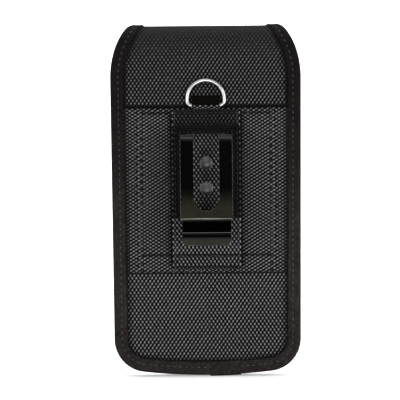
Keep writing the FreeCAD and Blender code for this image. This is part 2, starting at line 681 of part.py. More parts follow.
def make_strap():
    """Two layers of fabric, sewn to the panel at both ends and standing off it between."""
    sheets = [("belt_strap_inner", "backing_face", "inner_sewn_face", "strap_inside", "plate_back",
               "channel_top", "inner_mitre"),
              ("belt_strap_outer", "inner_sewn_face", "outer_sewn_face", "plate_front", "strap_face",
               "(channel_top + strap_layer)", "outer_mitre")]
    for name, sewn_back, sewn_face, raised_back, raised_face, under, mitre in sheets:
        body = new_body(name)
        sketch = body_sketch(body, f"{name}_section", "YZ_Plane")
        over = f"({under} + strap_layer)"
        draw_loop(sketch, [
            (sewn_back, "strap_top"),
            (sewn_face, "strap_top"),
            (sewn_face, f"{over} + strap_bend", "right", "strap_bend"),
            (f"{sewn_face} - strap_bend", over),
            (f"{raised_face} + strap_bend_outer", over, "left", "strap_bend_outer"),
            (raised_face, f"{over} - strap_bend_outer"),
            (raised_face, f"0 - channel_bottom - {mitre}"),
            (sewn_face, f"0 - slope_end - {mitre}"),
            (sewn_face, "0 - strap_bottom"),
            (sewn_back, "0 - strap_bottom"),
            (sewn_back, "0 - slope_end"),
            (raised_back, "0 - channel_bottom"),
            (raised_back, f"{under} - strap_bend", "right", "strap_bend"),
            (f"{raised_back} + strap_bend", under),
            (f"{sewn_back} - strap_bend_outer", under, "left", "strap_bend_outer"),
            (sewn_back, f"{under} + strap_bend_outer"),
        ])
        pad_across(body, f"{name}_sheet", sketch, "strap_width")
        holes = body_sketch(body, f"{name}_holes", "XZ_Plane")
        for height in ("rivet_upper_height", "0 - rivet_lower_depth"):
            draw_circle(holes, "0", height, "rivet_shank / 2 + rivet_clearance")
        if name == "belt_strap_outer":
            draw_slits(holes)
        pocket_between(body, f"{name}_openings", holes, f"{raised_face} - cut_margin",
                       f"{raised_back} + cut_margin")
        nodes.append(body)


def draw_slits(sketch):
    """Two cuts through which the legs of the clip come out."""
    near, far = "clip_slot_width / 2 - slit_clearance", "clip_width / 2 + slit_clearance"
    for left, right in ((near, far), (f"0 - ({far})", f"0 - ({near})")):
        draw_loop(sketch, rectangle(left, right, "slit_bottom", "slit_top"))


def make_clip():
    """One piece of spring steel: hidden plate, top bend, slotted leaf, crease and flared lip."""
    body = new_body("belt_clip")
    sketch = body_sketch(body, "clip_section", "YZ_Plane")
    crease_y = "crease_share * (cos(leaf_angle) + cos(lip_angle))"
    crease_z = "crease_share * (sin(leaf_angle) - sin(lip_angle))"
    draw_loop(sketch, [
        ("plate_back", "0 - clip_foot"),
        ("plate_back", "clip_bend_z", "left", "clip_bend_outer"),
        ("clip_bend_y", "clip_top", "left", "clip_bend_outer"),
        ("leaf_face", "clip_bend_z"),
        ("leaf_face", "0 - leaf_end"),
        ("crease_face", "0 - crease_depth"),
        ("crease_face - lip_flare", "0 - lip_depth"),
        ("crease_face - lip_flare + clip_thickness * cos(lip_angle)",
         "0 - lip_depth - clip_thickness * sin(lip_angle)"),
        (f"crease_face + {crease_y}", f"{crease_z} - crease_depth"),
        ("leaf_back", "leaf_mitre - leaf_end"),
        ("leaf_back", "clip_bend_z", "right", "clip_bend"),
        ("clip_bend_y", "clip_bend_z + clip_bend", "right", "clip_bend"),
        ("plate_front", "clip_bend_z"),
        ("plate_front", "0 - clip_foot"),
    ])
    pad_across(body, "clip_strip", sketch, "clip_width")

    def at_bend(first, last):
        level = abs(first.z - last.z) < NEAR and abs(first.y - last.y) < NEAR
        across = abs(first.x - last.x) > value("clip_width") / 2
        high, low = value("clip_thickness - leaf_end"), value("0 - clip_thickness - crease_depth")
        return level and across and low < first.z < high

    dress(body, "PartDesign::Fillet", "clip_bends", "Radius", "clip_fillet", at_bend)

    slot = body_sketch(body, "clip_slot_outline", "XZ_Plane")
    half = "clip_slot_width / 2"
    draw_loop(slot, [
        (f"0 - {half}", "clip_top + clip_thickness"),
        (f"0 - {half}", f"{half} - clip_slot_end", "left", half),
        ("0", "0 - clip_slot_end", "left", half), (half, f"{half} - clip_slot_end"),
        (half, "clip_top + clip_thickness"),
    ])
    pocket_between(body, "clip_slot", slot, "leaf_face - cut_margin", "clip_bend_y")
    plate_slot = body_sketch(body, "plate_slot_outline", "XZ_Plane")
    draw_loop(plate_slot, rectangle(f"0 - {half}", half, "clip_slot_start", "clip_top + clip_thickness"))
    pocket_between(body, "plate_slot", plate_slot, "clip_bend_y - cut_margin",
                   "plate_back + cut_margin")
    holes = body_sketch(body, "clip_holes", "XZ_Plane")
    for height in ("rivet_upper_height", "0 - rivet_lower_depth"):
        draw_circle(holes, "0", height, "rivet_shank / 2 + rivet_clearance")
    pocket_between(body, "clip_rivet_holes", holes, "plate_front - cut_margin", "plate_back + cut_margin")
    trims = body_sketch(body, "clip_trim_outline", "XZ_Plane")
    far, near = "clip_width / 2 + cut_margin", "clip_width / 2 - leaf_step"
    for left, right in ((near, far), (f"0 - ({far})", f"0 - ({near})")):
        draw_loop(trims, rectangle(left, right, "0 - lip_depth - clip_thickness", "0 - leaf_end"))
    pocket_between(body, "clip_trims", trims, "leaf_face - cut_margin", "strap_face")

    def at_lip_corner(first, last):
        low = NEAR - value("lip_depth")
        thin = (first - last).Length < value("clip_thickness") + NEAR
        return thin and first.z < low and last.z < low and abs(first.x - last.x) < NEAR

    dress(body, "PartDesign::Chamfer", "lip_corners", "Size", "lip_chamfer", at_lip_corner)
    nodes.append(body)


def make_rivets():
    """Domed rivets that hold the clip's plate between the strap's layers."""
    for name, height in (("rivet_upper", "rivet_upper_height"), ("rivet_lower", "0 - rivet_lower_depth")):
        body = new_body(name)
        sketch = body_sketch(body, f"{name}_section", "XY_Plane")
        dome = "((rivet_head / 2)^2 + rivet_dome^2) / (2 * rivet_dome)"
        grip = "(strap_inside - strap_face)"
        draw_loop(sketch, [
            ("0", "0 - rivet_dome", "left", dome), ("rivet_head / 2", "0"), ("rivet_shank / 2", "0"),
            ("rivet_shank / 2", grip), ("rivet_tail / 2", grip),
            ("rivet_tail / 2", f"{grip} + rivet_tail_height"), ("0", f"{grip} + rivet_tail_height"),
        ])
        turn = body.newObject("PartDesign::Revolution", f"{name}_turned")
        turn.Profile = sketch
        turn.ReferenceAxis = (sketch, ["V_Axis"])
        turn.Angle = 360
        body.Tip = turn
        bind(body, "Placement.Base.y", "strap_face")
        bind(body, "Placement.Base.z", height)
        nodes.append(body)


def make_ring():
    """The wire ring: a straight bar, two small corners and a round bow."""
    body = new_body("d_ring")
    spine = body_sketch(body, "ring_path", "XZ_Plane")
    flat = "(ring_bow - ring_corner)"
    top = "(ring_height - ring_wire / 2)"
    draw_loop(spine, [
        (f"0 - {flat}", "0"), (flat, "0", "left", "ring_corner"),
        ("ring_bow", "ring_corner"), ("ring_bow", f"{top} - ring_bow", "left", "ring_bow"),
        ("0", top, "left", "ring_bow"), ("0 - ring_bow", f"{top} - ring_bow"),
        ("0 - ring_bow", "ring_corner", "left", "ring_corner"),
    ])
    section = body_sketch(body, "ring_wire_section", "YZ_Plane")
    draw_circle(section, "0", "0", "ring_wire / 2")
    wire = body.newObject("PartDesign::AdditivePipe", "ring_wire_run")
    wire.Profile = section
    wire.Spine = (spine, [f"Edge{number + 1}" for number in range(7)])
    body.Tip = wire
    bind(body, "Placement.Base.y", "ring_y")
    bind(body, "Placement.Base.z", "bar_height")
    nodes.append(body)


doc = FreeCAD.newDocument("phone_belt_holster")
sizes = doc.addObject("Spreadsheet::Sheet", "Sizes")
for row, (name, size, note) in enumerate(SIZES, 1):
    sizes.set(f"A{row}", name)
    sizes.set(f"B{row}", str(size))
    sizes.set(f"C{row}", note)
    sizes.setAlias(f"B{row}", name)
OWNERS = {name: "Sizes." for name, size, note in SIZES}
doc.recompute()
places = doc.addObject("App::VarSet", "Places")
for name, text in PLACES:
    places.addProperty("App::PropertyFloat", name)
    bind(places, name, text)
    OWNERS[name] = "Places."
    doc.recompute()

nodes = []
back_edge = flat_sketch("back_edge_outline", pouch_corners("0", "fold_line"))
back_outline = flat_sketch("back_outline", pouch_corners("tape_thickness", "fold_line"))
above_fold, above_mouth = "fold_line + cut_margin", "mouth_height + cut_margin"
back_tape_inside = flat_sketch("back_tape_inside", pouch_corners("tape_width", above_fold))
back_tape_filling = flat_sketch("back_tape_filling_outline", pouch_corners("tape_thickness", above_fold))
board_outline = flat_sketch("board_outline", pouch_corners("board_margin", "board_top"))
front_edge = flat_sketch("front_edge_outline", pouch_corners("0", "mouth_height"))
front_outline = flat_sketch("front_outline", pouch_corners("tape_thickness", "mouth_height"))
front_tape_inside = flat_sketch("front_tape_inside", pouch_corners("tape_width", above_mouth))
front_tape_filling = flat_sketch("front_tape_filling_outline", pouch_corners("tape_thickness", above_mouth))
front_board_outline = flat_sketch("front_board_outline",
                                  pouch_corners("board_margin", "mouth_height - board_drop"))
gusset_outline = flat_sketch("gusset_outline", pouch_corners("gusset_inset", "mouth_height"))
pocket_outline = flat_sketch("pocket_outline",
                             pouch_corners("(gusset_inset + gusset_thickness)", above_mouth))
flap_edge = flat_sketch("flap_edge_outline", flap_corners("0"))
flap_outline = flat_sketch("flap_outline", flap_corners("tape_thickness"))
flap_tape_inside = flat_sketch("flap_tape_inside", flap_corners("tape_width"))
flap_tape_filling = flat_sketch("flap_tape_filling_outline", flap_corners("tape_thickness"))
flap_board_outline = flat_sketch("flap_board_outline", flap_corners("board_margin"))
board_room = slab("board_room", board_outline, "back_face + board_offset", "back_face + lining_offset")
front_board_room = slab("front_board_room", front_board_outline, "front_face - lining_offset",
                        "front_face - board_offset")
flap_board_room = slab("flap_board_room", flap_board_outline, "flap_face - lining_offset",
                       "flap_face - board_offset")
doc.recompute()

make_back_panel()
make_front_panel()
make_gusset()
make_bindings()
make_mouth_binding()
make_flap()
make_patches()
make_reinforcement_panel()
make_ring_tab()
make_strap()
make_clip()
make_rivets()
make_ring()
doc.recompute()

for thing in doc.Objects:
    for state in ("Invalid", "Error"):
        if state in thing.State:
            raise RuntimeError(f"{thing.Label} is {state}")
for node in nodes:
    if node.Shape.isNull() or not node.Shape.isValid() or not node.Shape.Solids:
        raise RuntimeError(f"{node.Label} has no valid solid")

os.makedirs("parts", exist_ok=True)
for node in nodes:
    node.Shape.exportStep(f"parts/{node.Label}.step")
    print(node.Label, len(node.Shape.Solids), round(node.Shape.Volume, 1))
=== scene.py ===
import math

import bmesh
import bpy
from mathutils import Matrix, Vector, kdtree, noise

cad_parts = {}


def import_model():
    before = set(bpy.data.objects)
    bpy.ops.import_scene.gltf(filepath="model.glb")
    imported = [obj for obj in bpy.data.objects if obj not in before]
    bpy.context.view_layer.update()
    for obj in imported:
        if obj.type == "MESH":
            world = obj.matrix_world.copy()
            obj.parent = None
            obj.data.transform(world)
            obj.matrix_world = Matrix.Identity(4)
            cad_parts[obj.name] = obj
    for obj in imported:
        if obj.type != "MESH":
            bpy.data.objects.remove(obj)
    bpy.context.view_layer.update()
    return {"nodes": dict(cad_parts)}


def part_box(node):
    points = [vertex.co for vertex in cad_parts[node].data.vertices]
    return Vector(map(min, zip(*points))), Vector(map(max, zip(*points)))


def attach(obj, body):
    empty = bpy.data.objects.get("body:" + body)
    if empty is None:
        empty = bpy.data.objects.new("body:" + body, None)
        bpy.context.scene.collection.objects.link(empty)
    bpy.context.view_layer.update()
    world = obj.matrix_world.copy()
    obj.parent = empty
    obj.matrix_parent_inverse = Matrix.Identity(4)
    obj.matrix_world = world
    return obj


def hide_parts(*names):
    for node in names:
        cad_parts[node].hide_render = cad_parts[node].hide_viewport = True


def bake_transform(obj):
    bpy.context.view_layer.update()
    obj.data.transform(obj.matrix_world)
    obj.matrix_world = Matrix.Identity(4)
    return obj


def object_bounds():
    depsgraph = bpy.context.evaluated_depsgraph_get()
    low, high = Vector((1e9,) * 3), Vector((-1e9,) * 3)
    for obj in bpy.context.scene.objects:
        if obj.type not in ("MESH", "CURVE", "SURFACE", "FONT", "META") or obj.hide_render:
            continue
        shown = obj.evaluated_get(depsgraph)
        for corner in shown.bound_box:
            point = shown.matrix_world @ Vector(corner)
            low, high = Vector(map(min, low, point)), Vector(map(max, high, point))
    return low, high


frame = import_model()

# A padded nylon pouch for a phone, seen from its belt side. Lengths here are millimetres,
# and a mesh is turned into metres when it is made.
MM = 0.001


def span(node):
    """A node's lowest and highest corners in millimetres."""
    low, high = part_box(node)
    return low / MM, high / MM


def spread(first, last, steps):
    """Even steps from the first value to the last."""
    return [first + (last - first) * number / steps for number in range(steps + 1)]


# Faces of the layers, taken from the frame.
BACK = span("back_shell")[0].y
FRONT = span("front_shell")[1].y
FLAP = span("flap_shell")[1].y
DEEP = FRONT - span("front_lining")[0].y
TAPE = BACK - span("back_binding")[0].y
TOP = span("flap_top_shell")[1].z
BOTTOM = span("back_binding")[0].z
FLAP_LOW = span("flap_binding")[0].z

# The bound outline, as it was cut.
FOLD_RADIUS = 10.0
POUCH_WIDTH = 2 * span("back_binding")[1].x
FOOT_WIDTH = 92.0
CORNER_RADIUS = 16.3
BOW_RADIUS = 280.0
SHOULDER_RADIUS = 45.0
SHOULDER_DROP = 15.9
LEAN = math.radians(25.6)
FLAP_WIDTH = 73.6
FLAP_BLEND = 12.0
FLAP_CORNER = 14.0
TAPE_WIDTH = 6.5
TAPE_GROOVE = 0.25
TAPE_LAP = (0.6, 16.4)
MOUTH = -6.0
GUSSET = 1.0
GUSSET_INSET = 7.5

# Stations along the outer face, from the fold line at the back up and over to the flap.
FOLD_LINE = TOP - FOLD_RADIUS
REAR_FOLD = BACK + FOLD_RADIUS
FRONT_FOLD = FLAP - FOLD_RADIUS
QUARTER = FOLD_RADIUS * math.pi / 2
TOP_RUN = FRONT_FOLD - REAR_FOLD
MIDDLE = QUARTER + TOP_RUN / 2
FLAP_LINE = 2 * QUARTER + TOP_RUN
FLAP_END = FLAP_LINE + FOLD_LINE - FLAP_LOW

# The sheet sewn on the back, the strap and their seams.
PANEL_SHEET = 0.9
PANEL_TOP = 33.4
PANEL_BOTTOM = -48.0
PANEL_SEAM = 33.0
SEAM_GAP = 2.2
PANEL_LOW = PANEL_BOTTOM - FOLD_LINE
PANEL_HIGH = PANEL_TOP - FOLD_LINE
STRAP_HALF = span("belt_strap_outer")[1].x
STRAP_SEAM = STRAP_HALF - 1.45
STRAP_LAYER = 0.8
STRAP_ROWS = ((30.4, 25.0), (-39.6, -45.5))
CLIP_SHEET = 1.0
CHANNEL_TOP = 21.6
CHANNEL_BOTTOM = -19.4
SLOPE_END = -38.6
STITCH_INSET = 3.9

# Stitches: pitch, length and thickness.
TAPE_STITCH = (3.0, 1.5, 0.42)
PANEL_STITCH = (3.6, 2.6, 0.36)
STRAP_STITCH = (2.4, 1.8, 0.42)
PATCH_STITCH = (2.6, 1.8, 0.4)

# Cells of the meshes.
EDGE_STEP = 1.2
CLOTH_STEP = 2.0

# One seed, so that the loops stand in the same places each time.
SEED = 7
noise.seed_set(SEED)


# Shader work.

class Wire:
    """A socket that takes part in arithmetic: each operation adds its Math node."""

    def __init__(self, nodes, socket):
        self.nodes = nodes
        self.socket = socket

    def out(self, name):
        return Wire(self.nodes, self.socket.node.outputs[name])

    def math(self, operation, *others):
        return self.nodes.add("ShaderNodeMath", {"operation": operation}, dict(enumerate((self, *others))))

    def __add__(self, other):
        return self.math("ADD", other)

    def __sub__(self, other):
        return self.math("SUBTRACT", other)

    def __rsub__(self, other):
        return self.nodes.add("ShaderNodeMath", {"operation": "SUBTRACT"}, {0: other, 1: self})

    def __mul__(self, other):
        return self.math("MULTIPLY", other)

    def __truediv__(self, other):
        return self.math("DIVIDE", other)

    __radd__ = __add__
    __rmul__ = __mul__

    def step(self, low, high):
        """0 below low, 1 above high and smooth between."""
        sockets = {"Value": self, "From Min": low, "From Max": high}
        return self.nodes.add("ShaderNodeMapRange", {"interpolation_type": "SMOOTHSTEP"}, sockets)


class Nodes:
    """A node tree under construction."""

    def __init__(self, tree):
        self.tree = tree

    def add(self, kind, settings=None, sockets=None, output=0):
        """A node of a type: its settings first, then the values or links of its sockets."""
        node = self.tree.nodes.new(kind)
        for name, choice in (settings or {}).items():
            if name == "stops":
                self.set_stops(node.color_ramp, choice)
            else:
                setattr(node, name, choice)
        for name, given in (sockets or {}).items():
            self.feed(node.inputs[name], given)
        return Wire(self, node.outputs[output])

    def set_stops(self, ramp, stops):
        while len(ramp.elements) < len(stops):
            ramp.elements.new(1.0)
        for element, (place, shade) in zip(ramp.elements, stops):
            element.position = place
            element.color = (*shade, 1)

    def feed(self, socket, given):
        if isinstance(given, Wire):
            self.tree.links.new(given.socket, socket)
        elif hasattr(socket.default_value, "__len__") and len(socket.default_value) == 4:
            socket.default_value = (*given[:3], 1)
        else:
            socket.default_value = given


class Finish(Nodes):
    """A material under construction, with its cloth coordinates in millimetres."""

    def __init__(self, name, **constants):
        self.material = bpy.data.materials.new(name)
        self.material.use_nodes = True
        super().__init__(self.material.node_tree)
        self.shader = self.tree.nodes["Principled BSDF"]
        for socket, amount in constants.items():
            self.shader.inputs[socket.replace("_", " ")].default_value = amount

    def cloth(self):
        """The two coordinates of the flat cloth."""
        place = self.add("ShaderNodeUVMap", {"uv_map": "cloth"})
        parts = self.add("ShaderNodeSeparateXYZ", None, {0: place})
        return place, parts.out("X"), parts.out("Y")

    def place(self):
        """Object coordinates in millimetres."""
        here = self.add("ShaderNodeTexCoord").out("Object")
        return self.add("ShaderNodeMapping", None, {"Vector": here, "Scale": (1 / MM, 1 / MM, 1 / MM)})

    def noise(self, vector, scale, detail=2.0, rough=0.5):
        sockets = {"Vector": vector, "Scale": scale, "Detail": detail, "Roughness": rough}
        return self.add("ShaderNodeTexNoise", None, sockets)

    def mix(self, factor, first, second):
        return self.add("ShaderNodeMix", {"data_type": "RGBA"}, {0: factor, 6: first, 7: second}, output=2)

    def ramp(self, factor, *stops):
        return self.add("ShaderNodeValToRGB", {"stops": stops}, {0: factor})

    def shade(self):
        """Painted shade in folds, seams and beside raised parts, from an attribute; paler where negative."""
        return self.add("ShaderNodeAttribute", {"attribute_name": "shade"}, output=2)

    def bump(self, height, depth, strength=1.0):
        """Relief of a height from 0 to 1, a depth in millimetres."""
        sockets = {"Height": height, "Distance": depth * MM, "Strength": strength}
        normal = self.add("ShaderNodeBump", None, sockets)
        self.feed(self.shader.inputs["Normal"], normal)

    def done(self, colour=None, roughness=None, **others):
        """Feeds the shader and hands over the material."""
        given = {"Base Color": colour, "Roughness": roughness}
        given.update({name.replace("_", " "): link for name, link in others.items()})
        for name, link in given.items():
            if link is not None:
                self.feed(self.shader.inputs[name], link)
        return self.material


def wave(along, period):
    """A wave from 0 to 1."""
    return (along * (2 * math.pi / period)).math("SINE") * 0.5 + 0.5


def weave(u, v, across, down, lean):
    """Crowns of a weave in rows half a step apart: 1 on a crown, -1 in a gap."""
    row = (v / (down / 2) + 0.5).math("FRACT") - 0.5
    slant = u - row * lean
    return (slant * (2 * math.pi / across)).math("COSINE") * (v * (2 * math.pi / down)).math("COSINE")


def holes(across, along, pitch):
    """Needle holes along a seam: 1 in a hole, 0 away from it."""
    near = ((along / pitch).math("FRACT") - 0.5) * pitch
    apart = (near * near + across * across).math("SQRT")
    return 1 - apart.step(0.45, 0.85)


def ballistic(name, turned=False, folded=False):
    """Heavy filament nylon: bright slanting crowns over black gaps, painted sheen and shade at the top."""
    finish = Finish(name, Specular_IOR_Level=0.06)
    flat, u, v = finish.cloth()
    broad = finish.noise(flat, 0.045, 1.0)
    lean = (broad - 0.4) * 1.6
    if turned:
        lattice = weave(v, u, 1.75, 2.78, lean + 0.1)
    else:
        lattice = weave(u, v, 1.94, 2.87, lean)
    crown = lattice.step(-0.3, 0.8)
    patchy = finish.noise(flat, 0.45, 2.0)
    filament = finish.add("ShaderNodeMapping", None, {"Vector": flat, "Scale": (2.2, 9.0, 1.0)})
    strands = finish.noise(filament, 1.0, 2.0)
    level = crown * (0.45 + patchy * 0.6 + strands * 0.25 + broad * 0.2)
    if folded:
        # painted sheen: over the fold the weave fades into an even grey
        painted_fold_sheen = v.step(-12.0, 8.0) * 0.65
        # painted shade: the back grows darker from its middle upwards
        level = (level * (1 - painted_fold_sheen) + painted_fold_sheen * 0.38) * (1 - v.step(-60.0, -15.0) * 0.24)
    # painted shade from the shade attribute darkens the colour
    level = level * (1 - finish.shade())
    if turned:
        off_seam = u.math("ABSOLUTE") - PANEL_SEAM
        for side in (-1, 1):
            level = level * (1 - holes(off_seam + side * SEAM_GAP / 2, v + side, PANEL_STITCH[0]))
    colour = finish.ramp(level, (0.0, (0.002, 0.002, 0.0023)), (0.4, (0.022, 0.0215, 0.0225)),
                         (1.0, (0.2, 0.197, 0.202)))
    finish.bump(crown + strands * 0.12, 0.28)
    return finish.done(colour, 0.6 - crown * 0.15)


def binding_tape():
    """Narrow ribbed tape, brownish black, with painted shade darkening it towards the top."""
    finish = Finish("binding_tape", Specular_IOR_Level=0.08)
    flat, u, v = finish.cloth()
    ribs = wave(u, 0.62)
    cross = wave(v, 0.8)
    patchy = finish.noise(flat, 0.5, 3.0, 0.6)
    height = finish.add("ShaderNodeSeparateXYZ", None, {0: finish.place()}).out("Z")
    broad = finish.noise(flat, 0.12, 2.0)
    level = patchy * 1.1 + ribs * cross * 0.5 + broad * 0.5 - 0.4
    # painted shade: the tape grows darker towards the top
    level = level * (1.08 - height.step(-30.0, 45.0) * 0.72)
    colour = finish.ramp(level, (0.0, (0.0025, 0.002, 0.002)), (0.6, (0.0195, 0.0155, 0.0152)),
                         (1.0, (0.048, 0.039, 0.0385)))
    finish.bump(ribs * 0.6 + cross * 0.2 + patchy, 0.2)
    return finish.done(colour, 0.7)


def plain_cloth(name, dark, light, pitch, rough, depth):
    """A fine plain weave."""
    finish = Finish(name, Specular_IOR_Level=0.2)
    flat, u, v = finish.cloth()
    over = (u * (math.pi / pitch)).math("SINE") * (v * (math.pi / pitch)).math("SINE") * 0.5 + 0.5
    patchy = finish.noise(flat, 0.3, 3.0)
    colour = finish.mix(over * 0.6 + patchy * 0.4, dark, light)
    finish.bump(over + patchy * 0.3, depth)
    return finish.done(colour, rough)


def elastic():
    """Knitted elastic with ribs along the gusset."""
    finish = Finish("elastic", Specular_IOR_Level=0.3, Sheen_Weight=0.1)
    flat, u, v = finish.cloth()
    ribs = wave(v, 1.15)
    knit = wave(u, 0.9)
    patchy = finish.noise(flat, 0.25, 2.0)
    level = ribs * (0.5 + knit * 0.3) + patchy * 0.25
    colour = finish.mix(level, (0.005, 0.005, 0.0055), (0.035, 0.035, 0.037))
    finish.bump(ribs + knit * 0.35, 0.22)
    return finish.done(colour, 0.72)


def ribbon():
    """Grosgrain ribbon with ribs across its length."""
    finish = Finish("ribbon", Specular_IOR_Level=0.02)
    flat, u, v = finish.cloth()
    ribs = wave(u, 0.75)
    patchy = finish.noise(flat, 0.8, 2.0)
    # black ribbon, with its colours darkened further as painted shade between the ring's legs
    colour = finish.mix(ribs * 0.7 + patchy * 0.3, (0.001, 0.001, 0.001), (0.006, 0.0055, 0.0045))
    finish.bump(ribs, 0.14)
    return finish.done(colour, 0.75)


def grained(name, fine, broad, share, shades, depth, rough, spread=0.0, **constants):
    """A finish from a fine and a broad noise: the fine one also gives relief and roughness."""
    finish = Finish(name, **constants)
    here = finish.place()
    grain = finish.noise(here, *fine)
    level = grain * share
    if broad:
        level = level + finish.noise(here, *broad) * (1 - share)
    if depth:
        finish.bump(grain, depth)
    return finish.done(finish.mix(level, *shades), grain * spread + rough)


def blackened_steel():
    """Spring steel with a smooth black finish; painted reflections and painted dark bands on the leaf and
    lip.
    """
    finish = Finish("blackened_steel", Specular_IOR_Level=0.5)
    here = finish.place()
    height = finish.add("ShaderNodeSeparateXYZ", None, {0: here}).out("Z")
    reflection_patches = finish.noise(here, 0.1, 2.0)
    grain = finish.noise(here, 2.5, 3.0)
    leaf = (-6 - height).step(0.0, 12.0) * (height + 23.5).step(0.0, 1.5)
    lip = (-31.0 - height).step(0.0, 1.0)
    # painted shade: the inward bend and a band above the lip turn metallic over the black, which darkens
    # them
    hollow = (height + 29.0).step(0.0, 0.8) * (-22.6 - height).step(0.0, 0.8)
    groove = (height + 31.1).step(0.0, 0.5) * (-29.2 - height).step(0.0, 0.4)
    # painted reflection: brown low on the leaf and on the lip
    painted_reflection = (leaf + lip * 0.8) * (0.5 + reflection_patches * 0.8)
    colour = finish.mix(painted_reflection, (0.0008, 0.0009, 0.001), (0.02, 0.0185, 0.0125))
    finish.bump(grain, 0.004)
    return finish.done(colour, 0.12 + grain * 0.06, Metallic=hollow * 0.85 + groove * 0.9)


# Geometry of the flat patterns and where they lie on the pouch.

def over(x, station, depth):
    """A point of the back, top and flap: depth in from the outer face."""
    reach = FOLD_RADIUS - depth
    if station <= 0:
        return Vector((x, BACK + depth, FOLD_LINE + station))
    if station >= FLAP_LINE:
        return Vector((x, FLAP - depth, FOLD_LINE + FLAP_LINE - station))
    if QUARTER <= station <= QUARTER + TOP_RUN:
        return Vector((x, REAR_FOLD + station - QUARTER, FOLD_LINE + reach))
    rear = station < QUARTER
    turn = station / FOLD_RADIUS if rear else (station - TOP_RUN) / FOLD_RADIUS
    centre = REAR_FOLD if rear else FRONT_FOLD
    return Vector((x, centre - reach * math.cos(turn), FOLD_LINE + reach * math.sin(turn)))


def before(x, station, depth):
    """A point of the front panel: depth in from its outer face."""
    return Vector((x, FRONT - depth, FOLD_LINE + station))


def bound_edge():
    """The right half of the edge: (place, outward direction) from bottom middle to flap middle."""
    bow = Vector((0, BOTTOM - FOLD_LINE + BOW_RADIUS))
    corner = Vector((FOOT_WIDTH / 2 - CORNER_RADIUS, 0))
    corner.y = bow.y - math.sqrt((BOW_RADIUS - CORNER_RADIUS) ** 2 - corner.x ** 2)
    shoulder = Vector((POUCH_WIDTH / 2 - SHOULDER_RADIUS, -SHOULDER_DROP))
    apart = corner - shoulder
    side = math.atan2(apart.y, apart.x) + math.acos((SHOULDER_RADIUS - CORNER_RADIUS) / apart.length)
    bow_end = math.atan2(corner.y - bow.y, corner.x)
    lean = Vector((math.cos(LEAN), math.sin(LEAN)))
    top = shoulder + lean * SHOULDER_RADIUS
    blend_x = FLAP_WIDTH / 2 + FLAP_BLEND
    run = (top.x + FLAP_BLEND * lean.x - blend_x) / lean.y
    blend = Vector((blend_x, top.y + run * lean.x + FLAP_BLEND * lean.y))
    flap = Vector((FLAP_WIDTH / 2 - FLAP_CORNER, FLAP_END - FLAP_CORNER))
    arcs = [(bow, BOW_RADIUS, -math.pi / 2, bow_end), (corner, CORNER_RADIUS, bow_end, side),
            (shoulder, SHOULDER_RADIUS, side, LEAN), (blend, -FLAP_BLEND, LEAN, 0.0),
            (flap, FLAP_CORNER, 0.0, math.pi / 2)]
    found = []
    for centre, radius, first, last in arcs:
        steps = max(2, math.ceil(abs(radius * (last - first)) / EDGE_STEP))
        for turn in spread(first, last, steps):
            outward = Vector((math.cos(turn), math.sin(turn)))
            found.append((centre + outward * radius, outward))
    found.append((Vector((0, FLAP_END)), Vector((0, 1))))
    filled = found[:1]
    for place, outward in found[1:]:
        start = filled[-1][0]
        steps = max(1, round((place - start).length / EDGE_STEP))
        filled += [(start.lerp(place, share), outward) for share in spread(0.0, 1.0, steps)[1:]]
    return filled


EDGE = bound_edge()
EDGE_TREE = kdtree.KDTree(len(EDGE))
for number, (place, outward) in enumerate(EDGE):
    EDGE_TREE.insert(place.to_3d(), number)
EDGE_TREE.balance()


def from_edge(x, y):
    """How far inside the bound edge a place is."""
    return EDGE_TREE.find((abs(x), y, 0))[2]


def fade(distance, reach):
    """1 at no distance, falling smoothly to 0 at the reach."""
    share = min(1.0, max(0.0, 1 - distance / reach))
    return share * share * (3 - 2 * share)


def edge_between(low, high):
    """The edge's samples from one station to another, exact at both ends."""
    found = []
    for (start, first), (end, last) in zip(EDGE, EDGE[1:]):
        for limit in (low, high):
            if start.y < limit < end.y:
                share = (limit - start.y) / (end.y - start.y)
                found.append((start.lerp(end, share), first.lerp(last, share).normalized()))
        if low <= end.y <= high:
            found.append((end, last))
    if low <= EDGE[0][0].y:
        found.insert(0, EDGE[0])
    return sorted(found, key=lambda spot: (spot[0].y, spot[0].x if spot[0].y < 0 else -spot[0].x))


def mirrored(samples):
    return [(Vector((-place.x, place.y)), Vector((-out.x, out.y))) for place, out in reversed(samples)]


def edge_x(station, inset):
    """How far out the edge is at a station, at an inset."""
    spots = [place - out * inset for place, out in EDGE]
    for start, end in zip(spots, spots[1:]):
        if start.y <= station <= end.y and end.y > start.y:
            return start.lerp(end, (station - start.y) / (end.y - start.y)).x
    raise ValueError(f"no edge at station {station}")


REAR_HALF = edge_between(-math.inf, MIDDLE)
FLAP_HALF = edge_between(MIDDLE, math.inf)
FRONT_HALF = edge_between(-math.inf, MOUTH)
REAR_EDGE = mirrored(REAR_HALF) + REAR_HALF[1:]
FLAP_EDGE = FLAP_HALF + mirrored(FLAP_HALF)[1:]
FRONT_EDGE = mirrored(FRONT_HALF) + FRONT_HALF[1:]


